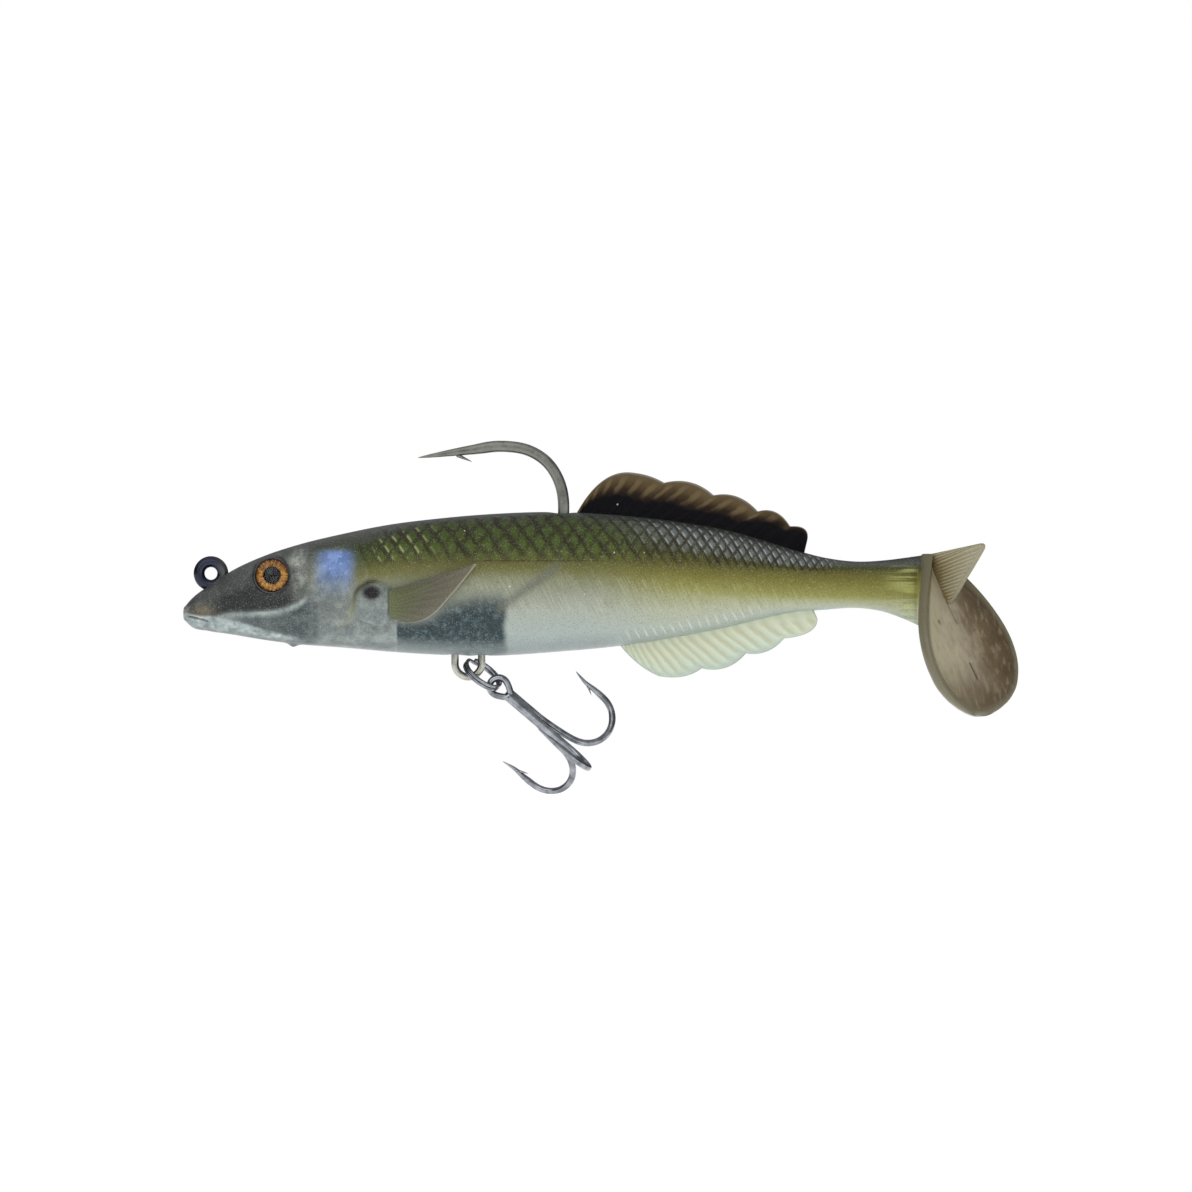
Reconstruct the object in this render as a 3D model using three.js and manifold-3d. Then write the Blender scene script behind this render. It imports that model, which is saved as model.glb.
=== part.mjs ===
// A rigged soft-plastic swimbait: a paddle-tail lure on an internal lead jig hook, with a belly treble.
// Millimetres. +X runs from the nose to the tail, +Z is up, -Y is the lure's left flank.
// The origin is the centre of the line tie, the hook eye that the fishing line is knotted to.
import * as THREE from "three";
import { mergeVertices } from "three/addons/utils/BufferGeometryUtils.js";
import Module from "manifold-3d";

const wasm = await Module();
wasm.setup();

// ---------------------------------------------------------------- driving dimensions

// Body outline stations: x, top z, bottom z, half width, squareness of the section (2 is an ellipse).
const STATIONS = [
  [-4.9, -6.2, -7.3, 0.7, 2.0],
  [-3.3, -4.3, -8.9, 2.3, 2.2],
  [-0.6, -2.2, -9.6, 3.3, 2.4],
  [3.4, 0.4, -10.2, 4.3, 2.7],
  [8.8, 2.9, -11.1, 5.3, 3.0],
  [14.2, 4.7, -11.8, 6.2, 2.8],
  [21.9, 6.6, -12.4, 7.1, 2.5],
  [30.0, 8.2, -13.1, 7.8, 2.3],
  [38.0, 9.2, -13.6, 8.2, 2.2],
  [46.0, 9.9, -13.8, 8.3, 2.2],
  [58.2, 10.3, -13.1, 8.0, 2.2],
  [70.3, 9.6, -11.9, 7.2, 2.2],
  [79.0, 8.6, -10.5, 6.2, 2.2],
  [87.0, 7.2, -8.9, 5.1, 2.2],
  [92.3, 5.7, -7.6, 4.4, 2.2],
  [97.7, 4.0, -6.5, 3.6, 2.2],
  [102.6, 2.7, -6.1, 3.0, 2.2],
  [108.6, 2.0, -5.8, 2.4, 2.2],
  [112.6, 2.2, -6.4, 2.0, 2.2],
  [116.7, 2.7, -7.9, 1.6, 2.2],
  [119.5, 3.1, -9.2, 1.3, 2.2],
];
const SIDES = 20; // corners of a body section

const GAP = 0.3; // between pieces that touch
const SKIN = 1.2; // soft plastic over the lead

// Flex lines of the soft body: x of the axis and the angle it bends each way, in degrees.
const BODY_FLEX = { x: 61.1, angle: 18 };
const STEM_FLEX = { x: 104.2, angle: 32 };
const PADDLE_X = 118.9; // axis that the paddle kicks about
const PADDLE_YAW = 48; // the tail lies turned to the left by this much, in degrees

const WEB = { radius: 0.9, top: 3.0, bottom: -9.3 }; // the paddle's neck, round about its kick axis

const HOOK_WIRE = 0.95; // radius
const HOOK_EYE = 1.98; // radius of the line tie's centre line
const HEAD_END = 16.7; // x of the lead head's rear face
const WEIGHT = { x0: 30.8, x1: 49.8, top: -4.9, humpX: 40.5, humpTop: -3.2, humpWidth: 2.2 };

const EYE = { x: 10.4, z: -0.3, radius: 2.86, back: 3.5, rim: 5.45 };

const PECTORAL = { x: 30.4, y: 8.95, flare: 5 }; // root axis of each pectoral fin, and its outward angle

const HANGER_WIRE = 0.63; // radius
const HANGER_BEND = 2.22; // radius of the U's centre line
const HANGER = new THREE.Vector3(43.1, 0, -15.1); // centre of the U's bend
const HANGER_TOP = -8.6; // z where its legs end inside the weight

// Its centre hangs at a reach from the hanger bend's centre, sloping down and back, its plane tilted to the left.
const RING = { radius: 3.35, wall: 0.55, width: 1.15, reach: 3.0, slope: 37, tilt: 22 };
const TREBLE = { wire: 0.56, eye: 1.5, slope: 3.7, bend: 4.75 };

// ---------------------------------------------------------------- helpers

const rad = THREE.MathUtils.degToRad;
const v2 = (x, y) => new THREE.Vector2(x, y);

// A closed three.js geometry as a manifold solid.
function solid(geometry) {
  const bare = geometry.clone();
  bare.deleteAttribute("normal");
  bare.deleteAttribute("uv");
  const merged = mergeVertices(bare, 1e-4);
  return new wasm.Manifold(
    new wasm.Mesh({
      numProp: 3,
      vertProperties: new Float32Array(merged.attributes.position.array),
      triVerts: new Uint32Array(merged.index.array),
    }),
  );
}

// A manifold solid as a three.js geometry.
function geometryOf(body) {
  const mesh = body.getMesh();
  const corners = new Float32Array(mesh.numVert * 3);
  for (let i = 0; i < mesh.numVert; i++) {
    corners.set(mesh.vertProperties.subarray(i * mesh.numProp, i * mesh.numProp + 3), i * 3);
  }
  const geometry = new THREE.BufferGeometry();
  geometry.setAttribute("position", new THREE.BufferAttribute(corners, 3));
  geometry.setIndex(new THREE.BufferAttribute(mesh.triVerts, 1));
  const flat = geometry.toNonIndexed();
  flat.computeVertexNormals();
  return flat;
}

const join = (first, ...rest) => rest.reduce((sum, next) => sum.add(next), first);
const cut = (first, ...rest) => rest.reduce((left, next) => left.subtract(next), first);

function boxBetween(low, high) {
  const size = low.map((value, i) => high[i] - value);
  const middle = low.map((value, i) => (high[i] + value) / 2);
  return solid(new THREE.BoxGeometry(...size).translate(...middle));
}

// A cylinder along Y through (x, z), from y0 to y1.
function pegAlongY(x, z, radius, y0, y1, sides = 20) {
  const peg = new THREE.CylinderGeometry(radius, radius, y1 - y0, sides);
  return solid(peg.translate(x, (y0 + y1) / 2, z));
}

// A round wire along a curve. Its section has twice curveSegments corners.
function wireAlong(curve, radius, steps, curveSegments = 5) {
  const section = new THREE.Shape().absarc(0, 0, radius, 0, 2 * Math.PI);
  return solid(
    new THREE.ExtrudeGeometry(section, { extrudePath: curve, steps, curveSegments, bevelEnabled: false }),
  );
}

// A cone from a wire's end to a sharp point.
function pointBetween(from, to, radius, sides = 10) {
  const length = from.distanceTo(to);
  const cone = new THREE.CylinderGeometry(0.05, radius, length, sides).translate(0, length / 2, 0);
  const turn = new THREE.Quaternion().setFromUnitVectors(
    new THREE.Vector3(0, 1, 0),
    to.clone().sub(from).normalize(),
  );
  return solid(cone.applyQuaternion(turn).translate(from.x, from.y, from.z));
}

// A flat outline drawn in x and z, of a thickness centred on y.
function plateXZ(shape, thickness, y = 0, curveSegments = 6) {
  const plate = new THREE.ExtrudeGeometry(shape, { depth: thickness, bevelEnabled: false, curveSegments });
  return solid(plate.translate(0, 0, -thickness / 2).rotateX(Math.PI / 2).translate(0, y, 0));
}

function mesh(name, body, colour, roughness, metalness) {
  const material = new THREE.MeshStandardMaterial({ color: colour, roughness, metalness });
  const made = new THREE.Mesh(geometryOf(body), material);
  made.name = name;
  return made;
}

const softPlastic = (name, body, colour) => mesh(name, body, colour, 0.35, 0);
const steel = (name, body) => mesh(name, body, 0x6b6d6c, 0.28, 1);
const lead = (name, body) => mesh(name, body, 0x4a545c, 0.6, 0.8);

// ---------------------------------------------------------------- the body's outline

const stationX = new Float32Array(STATIONS.map((row) => row[0]));
const outline = [1, 2, 3, 4].map(
  (column) =>
    new THREE.CubicInterpolant(stationX, new Float32Array(STATIONS.map((row) => row[column])), 1, new Float32Array(1)),
);

function sectionAt(x) {
  const [top, bottom, halfWidth, square] = outline.map((curve) => curve.evaluate(x)[0]);
  return { middle: (top + bottom) / 2, halfHeight: (top - bottom) / 2, halfWidth, square };
}

// The body between two places, its surface moved in by an inset: a cylinder whose rings take the outline.
function bodyBetween(x0, x1, rings, inset = 0) {
  const geometry = new THREE.CylinderGeometry(1, 1, 1, SIDES, rings);
  const place = geometry.attributes.position;
  for (let i = 0; i < place.count; i++) {
    const x = x0 + (0.5 - place.getY(i)) * (x1 - x0);
    const section = sectionAt(x);
    const reach = Math.hypot(place.getX(i), place.getZ(i));
    const angle = Math.atan2(place.getX(i), place.getZ(i));
    const bulge = (value) => Math.sign(value) * Math.abs(value) ** (2 / section.square);
    const y = reach * (section.halfWidth - inset) * bulge(Math.sin(angle));
    const z = section.middle + reach * (section.halfHeight - inset) * bulge(Math.cos(angle));
    place.setXYZ(i, x, y, z);
  }
  return facingOut(geometry);
}

// Turns every face of an inside-out closed geometry, if it is one, and returns the solid.
function facingOut(geometry) {
  const made = solid(geometry);
  if (made.volume() > 0) {
    return made;
  }
  const index = geometry.index.array;
  for (let i = 0; i < index.length; i += 3) {
    [index[i + 1], index[i + 2]] = [index[i + 2], index[i + 1]];
  }
  return solid(geometry);
}

// Everything beyond (side 1) or before (side -1) a flex line, its edge sloping away from the axis so that the
// two soft parts can bend by the flex angle without meeting.
function beyondFlex(flex, side) {
  const reach = 14;
  const slope = reach * Math.tan(rad(flex.angle / 2 + 1.5));
  const edge = flex.x - side * (GAP / 2);
  const far = flex.x + side * 90;
  const shape = new THREE.Shape([
    v2(edge, 0),
    v2(edge - side * slope, reach),
    v2(far, reach),
    v2(far, -reach),
    v2(edge - side * slope, -reach),
  ]);
  const prism = new THREE.ExtrudeGeometry(shape, { depth: 60, bevelEnabled: false });
  return solid(prism.translate(0, 0, -30));
}

// ---------------------------------------------------------------- main hook

// Centre line of the shank and bend, from the line tie to where the point begins.
const HOOK_LINE = [
  [1.3, -1.3],
  [4.6, -3.9],
  [9.5, -5.7],
  [16.5, -6.8],
  [30, -7.2],
  [40, -6.7],
  [47, -4.5],
  [53, -1.0],
  [57.3, 4.0],
  [59.0, 9.4],
  [58.6, 14.6],
  [56.5, 18.4],
  [53.2, 20.6],
  [48.6, 21.3],
  [43.6, 20.7],
].map(([x, z]) => new THREE.Vector3(x, 0, z));
const HOOK_TIP = new THREE.Vector3(34.7, 0, 19.4);
const HOOK_BARB = [v2(40.6, 19.75), v2(43.6, 18.75), v2(42.8, 20.1)];
const BARB_WIDTH = 0.8;

function hookShank(extra = 0) {
  const line = new THREE.CatmullRomCurve3(HOOK_LINE, false, "centripetal");
  const eye = solid(new THREE.TorusGeometry(HOOK_EYE, HOOK_WIRE + extra, 10, 24).rotateX(Math.PI / 2));
  return join(eye, wireAlong(line, HOOK_WIRE + extra, 34));
}

function mainHook() {
  const point = pointBetween(HOOK_LINE.at(-1), HOOK_TIP, HOOK_WIRE);
  const barb = plateXZ(new THREE.Shape(HOOK_BARB), BARB_WIDTH);
  return join(hookShank(), point, barb);
}

const hookRoom = hookShank(GAP);

// ---------------------------------------------------------------- eyes, the same on both sides

// The eye's turned profiles, radius and distance out from the middle of the head.
const eyeFloor = EYE.back + 0.5;
const cupProfile = [
  v2(0, EYE.back),
  v2(EYE.radius, EYE.back),
  v2(EYE.radius, EYE.rim),
  v2(EYE.radius - 0.42, EYE.rim),
  v2(EYE.radius - 0.42, eyeFloor),
  v2(0, eyeFloor),
];
const irisRadius = EYE.radius - 0.52;
const irisTop = EYE.rim - 0.45;
const irisProfile = [v2(0, eyeFloor + 0.1), v2(irisRadius, eyeFloor + 0.1), v2(irisRadius, irisTop), v2(0, irisTop)];
const domeBase = irisTop + 0.1;
const domeHeight = 1.05;

function domeProfile() {
  const steps = 4;
  const points = [v2(0, domeBase), v2(irisRadius, domeBase)];
  for (let i = 1; i <= steps; i++) {
    const angle = (i / steps) * (Math.PI / 2);
    points.push(v2(i === steps ? 0 : irisRadius * Math.cos(angle), domeBase + domeHeight * Math.sin(angle)));
  }
  return points;
}

function turnedEye(profile, side) {
  const geometry = new THREE.LatheGeometry(profile, 20);
  if (side < 0) {
    geometry.rotateX(Math.PI);
  }
  return solid(geometry.translate(EYE.x, 0, EYE.z));
}

function eyeRoom(extra) {
  const radius = EYE.radius + extra;
  const depth = EYE.back - extra;
  return join(pegAlongY(EYE.x, EYE.z, radius, depth, 12), pegAlongY(EYE.x, EYE.z, radius, -12, -depth));
}

// ---------------------------------------------------------------- lead

function leadHead() {
  return cut(bodyBetween(-1.5, HEAD_END, 6, SKIN + GAP), hookRoom, eyeRoom(GAP));
}

function weightRoom(extra) {
  const low = -20;
  const slab = boxBetween([WEIGHT.x0 - extra, -12, low], [WEIGHT.x1 + extra, 12, WEIGHT.top + extra]);
  const hump = boxBetween(
    [WEIGHT.humpX - extra, -WEIGHT.humpWidth - extra, low],
    [WEIGHT.x1 + extra, WEIGHT.humpWidth + extra, WEIGHT.humpTop + extra],
  );
  const inner = bodyBetween(WEIGHT.x0 - 3, WEIGHT.x1 + 3, 5, SKIN + GAP - extra);
  return inner.intersect(join(slab, hump));
}

// The U of wire that carries the split ring, its legs cast into the belly weight.
function hanger(extra = 0) {
  const line = new THREE.CurvePath();
  const left = HANGER.x - HANGER_BEND;
  const right = HANGER.x + HANGER_BEND;
  const steps = 12;
  const points = [new THREE.Vector3(left, 0, HANGER_TOP), new THREE.Vector3(left, 0, HANGER_TOP - 3)];
  for (let i = 0; i <= steps; i++) {
    const angle = Math.PI * (1 + i / steps);
    points.push(
      new THREE.Vector3(HANGER.x + HANGER_BEND * Math.cos(angle), 0, HANGER.z + HANGER_BEND * Math.sin(angle)),
    );
  }
  points.push(new THREE.Vector3(right, 0, HANGER_TOP - 3), new THREE.Vector3(right, 0, HANGER_TOP));
  line.add(new THREE.CatmullRomCurve3(points, false, "centripetal"));
  return wireAlong(line, HANGER_WIRE + extra, 20, 4);
}

// ---------------------------------------------------------------- soft body

// The rounded shoulder that each pectoral fin grows from.
function shoulders() {
  const lump = (side) => solid(new THREE.SphereGeometry(1, 14, 8).scale(4.2, 2.4, 3.8).translate(28, side * 7.1, -5));
  const behind = boxBetween([PECTORAL.x - 0.7, -12, -12], [PECTORAL.x + 5, 12, 2]);
  return cut(join(lump(-1), lump(1)), behind);
}

function softBodyFront() {
  const full = join(bodyBetween(-4.9, 66, 20), shoulders());
  const headRoom = bodyBetween(-1.8, HEAD_END + GAP, 6, SKIN);
  return cut(full, beyondFlex(BODY_FLEX, 1), headRoom, weightRoom(GAP), hookRoom, hanger(GAP), eyeRoom(GAP));
}

function softBodyRear() {
  return cut(bodyBetween(56, 108, 13), beyondFlex(BODY_FLEX, -1), beyondFlex(STEM_FLEX, 1));
}

const stemEnd = PADDLE_X - WEB.radius - GAP;

function tailStem() {
  return cut(bodyBetween(101, stemEnd, 6), beyondFlex(STEM_FLEX, -1));
}

// ---------------------------------------------------------------- fins

const FIN_GAP = 0.5; // the fins fold over sideways, so their roots stand this far off the back and belly

// A fin with a scalloped free edge: from the front of the root, through each notch with a round lobe before it, to
// the back of the root. Each lobe is [control x, z, notch x, z].
function lobedFin(front, lobes, root) {
  const shape = new THREE.Shape().moveTo(...front);
  for (const [controlX, controlZ, notchX, notchZ] of lobes) {
    shape.quadraticCurveTo(controlX, controlZ, notchX, notchZ);
  }
  for (const [x, z] of root) {
    shape.lineTo(x, z);
  }
  return shape.closePath();
}

const alongBack = (x) => [x, outline[0].evaluate(x)[0] + FIN_GAP];
const alongBelly = (x) => [x, outline[1].evaluate(x)[0] - FIN_GAP];

function dorsalFin() {
  const lobes = [
    [65.0, 17.6, 70.6, 16.9],
    [73.6, 16.6, 75.9, 15.2],
    [80.6, 16.4, 84.2, 13.1],
    [88.4, 14.0, 91.6, 10.4],
    [94.9, 11.4, 97.0, 7.9],
    [100.4, 8.2, 99.9, 5.6],
  ];
  const root = [99.2, 95, 90, 84, 77, 70].map(alongBack);
  return plateXZ(lobedFin(alongBack(62.2), lobes, root), 1.2);
}

function analFin() {
  const lobes = [
    [71.5, -15.8, 75.0, -17.2],
    [79.5, -18.0, 82.2, -15.9],
    [86.7, -16.9, 89.6, -13.4],
    [93.4, -14.0, 96.0, -10.9],
    [101.6, -10.4, 101.6, -7.6],
  ];
  const root = [100.6, 95, 90, 84, 77].map(alongBelly);
  return plateXZ(lobedFin(alongBelly(68.6), lobes, root), 1.2);
}

// The blade, x measured back from its root axis.
function pectoralFin() {
  const shape = new THREE.Shape()
    .moveTo(0, -2.5)
    .quadraticCurveTo(7.4, -0.4, 14.4, 1.7)
    .quadraticCurveTo(11.0, -2.6, 8.3, -5.6)
    .quadraticCurveTo(5.8, -8.4, 2.6, -8.2)
    .lineTo(0, -7.6)
    .closePath();
  const root = new THREE.CylinderGeometry(0.4, 0.4, 5.1, 10).rotateX(Math.PI / 2);
  return join(plateXZ(shape, 0.8), solid(root.translate(0, 0, -5.05)));
}

// ---------------------------------------------------------------- paddle tail, in its own turned frame

// In this frame x runs back from the kick axis and z is the lure's own z.
const PADDLE = { top: 3.3, bottom: -23.9, thick: 2.4, root: 1.9, heel: 14.4, cup: 2.2, brim: 0.9 };
const paddleHeights = new Float32Array([-23.9, -23.2, -22.0, -19.8, -17, -14.3, -10.9, -5.5, -1.5, 1, 3.3]);
const paddleWidths = new Float32Array([0.8, 2.9, 5.1, 7.5, 9.0, 9.6, 9.4, 7.4, 5.0, 3.1, 1.3]);
const paddleOutline = new THREE.CubicInterpolant(paddleHeights, paddleWidths, 1, new Float32Array(1));
const paddleShare = (z) => (z - PADDLE.bottom) / (PADDLE.top - PADDLE.bottom);

// x of the rear face along the paddle's middle: it sweeps back and curls upright towards its lower end.
const paddleMiddle = (z) => PADDLE.heel - (PADDLE.heel - PADDLE.root) * paddleShare(z) ** 1.45;

// The disc: a box whose grid takes the egg outline and the swept, cupped face.
function paddleDisc() {
  const geometry = new THREE.BoxGeometry(1, 1, 1, 1, 6, 14);
  const place = geometry.attributes.position;
  for (let i = 0; i < place.count; i++) {
    const z = PADDLE.bottom + (place.getZ(i) + 0.5) * (PADDLE.top - PADDLE.bottom);
    const across = place.getY(i) * 2;
    const cupped = (PADDLE.brim + PADDLE.cup * paddleShare(z)) * across ** 2;
    const rear = paddleMiddle(z) + cupped;
    place.setXYZ(i, rear - (0.5 - place.getX(i)) * PADDLE.thick, across * paddleOutline.evaluate(z)[0], z);
  }
  return facingOut(geometry);
}

// The upright web that joins the paddle's front face to the stem, rounded where it meets the kick axis.
function paddleWeb() {
  const inDisc = (z) => paddleMiddle(z) - 1;
  const shape = new THREE.Shape()
    .moveTo(0, WEB.top)
    .lineTo(inDisc(WEB.top), WEB.top)
    .lineTo(inDisc(-4), -4)
    .lineTo(inDisc(-12.5), -12.5)
    .quadraticCurveTo(3.2, -10.4, 0, WEB.bottom)
    .closePath();
  const axis = new THREE.CylinderGeometry(WEB.radius, WEB.radius, WEB.top - WEB.bottom, 12).rotateX(Math.PI / 2);
  return join(plateXZ(shape, 2 * WEB.radius), solid(axis.translate(0, 0, (WEB.top + WEB.bottom) / 2)));
}

function caudalLobe() {
  const off = (z) => paddleMiddle(z) + GAP + 0.1;
  const shape = new THREE.Shape()
    .moveTo(off(3.2), 3.2)
    .lineTo(14.6, 5.0)
    .quadraticCurveTo(15.7, 4.9, 15.3, 4.1)
    .lineTo(11.0, -0.8)
    .lineTo(off(-4.8), -4.8)
    .lineTo(off(-2.2), -2.2)
    .lineTo(off(0.5), 0.5)
    .closePath();
  return plateXZ(shape, 1.2);
}

// ---------------------------------------------------------------- split ring and treble

function splitRing() {
  const { radius, wall, width } = RING;
  const inner = radius - wall / 2;
  const outer = radius + wall / 2;
  const half = width / 2;
  const profile = [v2(inner, -half), v2(outer, -half), v2(outer, half), v2(inner, half), v2(inner, -half)];
  return solid(new THREE.LatheGeometry(profile, 28).rotateX(Math.PI / 2).translate(RING.reach, 0, 0));
}

// One of the treble's hooks: x along the shank from the eye's centre, out away from the shank, at a turn about x.
// The bend's centre lies at (along, out), and the shank wire runs at its own small distance from the treble's axis.
function trebleHook({ start, spread, along, out, azimuth }) {
  const point = (x, z) => new THREE.Vector3(x, 0, z);
  const points = [point(start, spread), point(along - 8, spread), point(along - 4, spread + 0.2)];
  for (const angle of [-75, -40, 0, 40, 75]) {
    points.push(
      point(along + TREBLE.bend * Math.cos(rad(angle)), out + TREBLE.bend * Math.sin(rad(angle))),
    );
  }
  points.push(point(along - 1.2, out + TREBLE.bend + 0.05));
  const tip = point(along - 5.8, out + TREBLE.bend + 0.35);
  const leg = out + TREBLE.bend;
  const barb = [v2(along - 2.4, leg - 0.5), v2(along - 0.8, leg - 1.4), v2(along - 1.2, leg - 0.2)];
  const line = new THREE.CatmullRomCurve3(points, false, "centripetal");
  const hook = join(
    wireAlong(line, TREBLE.wire, 18, 4),
    pointBetween(points.at(-1), tip, TREBLE.wire, 8),
    plateXZ(new THREE.Shape(barb), 0.5),
  );
  return hook.rotate([azimuth, 0, 0]);
}

function trebleDouble() {
  const eye = solid(new THREE.TorusGeometry(TREBLE.eye, TREBLE.wire, 8, 24).rotateX(Math.PI / 2));
  const upper = trebleHook({ start: TREBLE.eye, spread: 0.6, along: 14.35, out: 6.2, azimuth: -25 });
  const lower = trebleHook({ start: TREBLE.eye, spread: 0.6, along: 14.85, out: 5.8, azimuth: -145 });
  return join(eye, upper, lower);
}

const trebleSingle = () =>
  trebleHook({ start: TREBLE.eye + TREBLE.wire + GAP, spread: 1.05, along: 15.3, out: 6.0, azimuth: 95 });

// ---------------------------------------------------------------- the lure

const lure = new THREE.Group();
lure.add(
  softPlastic("soft_body_front", softBodyFront(), 0x77795a),
  softPlastic("soft_body_rear", softBodyRear(), 0x8a8b58),
  softPlastic("tail_stem", tailStem(), 0xa39b5a),
  softPlastic("dorsal_fin", dorsalFin(), 0x2b241c),
  softPlastic("anal_fin", analFin(), 0xb9bda4),
  steel("main_hook", mainHook()),
  lead("lead_head", leadHead()),
  lead("belly_weight", cut(weightRoom(0), hookRoom, hanger(GAP))),
  steel("belly_hanger", hanger()),
);
for (const [word, side] of [
  ["left", -1],
  ["right", 1],
]) {
  const fin = softPlastic("pectoral_fin_" + word, pectoralFin(), 0x7d7d66);
  fin.position.set(PECTORAL.x, side * PECTORAL.y, 0);
  fin.rotation.z = side * rad(PECTORAL.flare);
  lure.add(
    fin,
    mesh("eye_cup_" + word, turnedEye(cupProfile, side), 0x0d0e10, 0.3, 0),
    mesh("eye_iris_" + word, turnedEye(irisProfile, side), 0xb07a2a, 0.25, 0.6),
    mesh("eye_dome_" + word, turnedEye(domeProfile(), side), 0xffffff, 0.05, 0),
  );
}

const paddle = new THREE.Group();
paddle.position.set(PADDLE_X, 0, 0);
paddle.rotation.z = -rad(PADDLE_YAW);
paddle.add(
  softPlastic("paddle_tail", join(paddleDisc(), paddleWeb()), 0x7b6a55),
  softPlastic("caudal_lobe", caudalLobe(), 0x8b7c62),
);
lure.add(paddle);

// The ring hangs through the hanger's bend; the treble's eye hangs on the far side of the ring.
const ring = new THREE.Group();
ring.position.copy(HANGER);
ring.rotation.set(rad(RING.tilt), rad(RING.slope), 0, "YXZ");
ring.add(steel("split_ring", splitRing()));
const treble = new THREE.Group();
treble.position.set(RING.reach + RING.radius, 0, 0);
treble.rotation.set(-rad(RING.tilt), rad(TREBLE.slope), 0, "YXZ");
treble.add(steel("treble_double", trebleDouble()), steel("treble_single", trebleSingle()));
ring.add(treble);
lure.add(ring);

export default lure;
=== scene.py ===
"""The looks of a rigged soft-plastic swimbait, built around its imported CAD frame.

Numbers are millimetres unless a name says otherwise, and meshes are written in metres. +X runs from
the nose to the tail, +Z is up, and -Y is the lure's left flank, which the camera faces.
"""

from math import cos, pi, radians, sin

import bmesh
import bpy
import numpy as np
from mathutils import Matrix, Vector


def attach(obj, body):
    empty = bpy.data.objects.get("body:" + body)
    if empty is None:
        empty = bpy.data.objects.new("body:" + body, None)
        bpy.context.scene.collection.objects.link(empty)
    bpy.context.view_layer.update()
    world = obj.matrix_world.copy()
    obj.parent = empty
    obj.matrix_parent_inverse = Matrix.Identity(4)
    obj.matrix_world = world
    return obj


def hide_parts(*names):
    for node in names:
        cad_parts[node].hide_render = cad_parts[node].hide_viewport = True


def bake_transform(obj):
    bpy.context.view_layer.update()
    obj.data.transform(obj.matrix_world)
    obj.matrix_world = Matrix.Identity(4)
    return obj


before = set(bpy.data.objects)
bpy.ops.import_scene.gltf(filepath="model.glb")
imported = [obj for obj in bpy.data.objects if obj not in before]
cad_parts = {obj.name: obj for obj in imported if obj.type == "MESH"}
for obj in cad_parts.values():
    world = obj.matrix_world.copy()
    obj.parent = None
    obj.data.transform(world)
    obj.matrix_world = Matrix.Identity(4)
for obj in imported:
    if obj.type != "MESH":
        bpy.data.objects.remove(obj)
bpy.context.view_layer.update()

# ---------------------------------------------------------------- sizes shared with the CAD model

MM = 0.001

# Body outline stations: x, top z, bottom z, half width, squareness of the section (2 is an ellipse).
STATIONS = np.array(
    [
        [-4.9, -6.2, -7.3, 0.7, 2.0],
        [-3.3, -4.3, -8.9, 2.3, 2.2],
        [-0.6, -2.2, -9.6, 3.3, 2.4],
        [3.4, 0.4, -10.2, 4.3, 2.7],
        [8.8, 2.9, -11.1, 5.3, 3.0],
        [14.2, 4.7, -11.8, 6.2, 2.8],
        [21.9, 6.6, -12.4, 7.1, 2.5],
        [30.0, 8.2, -13.1, 7.8, 2.3],
        [38.0, 9.2, -13.6, 8.2, 2.2],
        [46.0, 9.9, -13.8, 8.3, 2.2],
        [58.2, 10.3, -13.1, 8.0, 2.2],
        [70.3, 9.6, -11.9, 7.2, 2.2],
        [79.0, 8.6, -10.5, 6.2, 2.2],
        [87.0, 7.2, -8.9, 5.1, 2.2],
        [92.3, 5.7, -7.6, 4.4, 2.2],
        [97.7, 4.0, -6.5, 3.6, 2.2],
        [102.6, 2.7, -6.1, 3.0, 2.2],
        [108.6, 2.0, -5.8, 2.4, 2.2],
        [112.6, 2.2, -6.4, 2.0, 2.2],
        [116.7, 2.7, -7.9, 1.6, 2.2],
        [119.5, 3.1, -9.2, 1.3, 2.2],
    ]
)
TOP, BOTTOM = 1, 2  # columns of the stations
LATERAL_LINE = 2.1  # height of the dark line along the flank
PADDLE_X = 118.9
PADDLE_YAW = radians(48)
PADDLE = {"top": 3.3, "bottom": -23.9, "thick": 2.4, "root": 1.9, "heel": 14.4, "cup": 2.2, "brim": 0.9}
PADDLE_HEIGHTS = [-23.9, -23.2, -22.0, -19.8, -17, -14.3, -10.9, -5.5, -1.5, 1, 3.3]
PADDLE_WIDTHS = [0.8, 3.1, 5.5, 8.1, 9.6, 10.2, 10.0, 7.9, 5.2, 3.0, 0.8]
WEB_TOP = 3.0

EYE = {"x": 10.4, "z": -0.3, "radius": 3.12, "iris": 2.76}
PECTORAL = {"x": 30.4, "y": 8.95, "flare": radians(5)}
SHOULDER = {"x": 28.0, "y": 7.1, "z": -5.0, "reach": (4.2, 2.4, 3.8)}

HOOK_WIRE = 0.95
HOOK_EYE = 1.98
HOOK_LINE = [
    (1.3, -1.3),
    (4.6, -3.9),
    (9.5, -5.7),
    (16.5, -6.8),
    (30, -7.2),
    (40, -6.7),
    (47, -4.5),
    (53, -1.0),
    (57.3, 4.0),
    (59.0, 9.4),
    (58.6, 14.6),
    (56.5, 18.4),
    (53.2, 20.6),
    (48.6, 21.3),
    (43.6, 20.7),
    (34.7, 19.4),
]
SHANK = {"x": 48.4, "z": -5.8, "slope": 0.713, "slant": 1.228}  # slant: its length for each mm along x
HANGER = {"x": 43.1, "z": -15.1, "bend": 2.22, "wire": 0.63, "top": -8.6}
RING = {"radius": 3.35, "wire": 0.279, "width": 1.15, "reach": 3.0, "slope": radians(37), "tilt": radians(22)}
TREBLE = {"wire": 0.56, "eye": 1.5, "slope": radians(3.7), "bend": 4.75}

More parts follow.
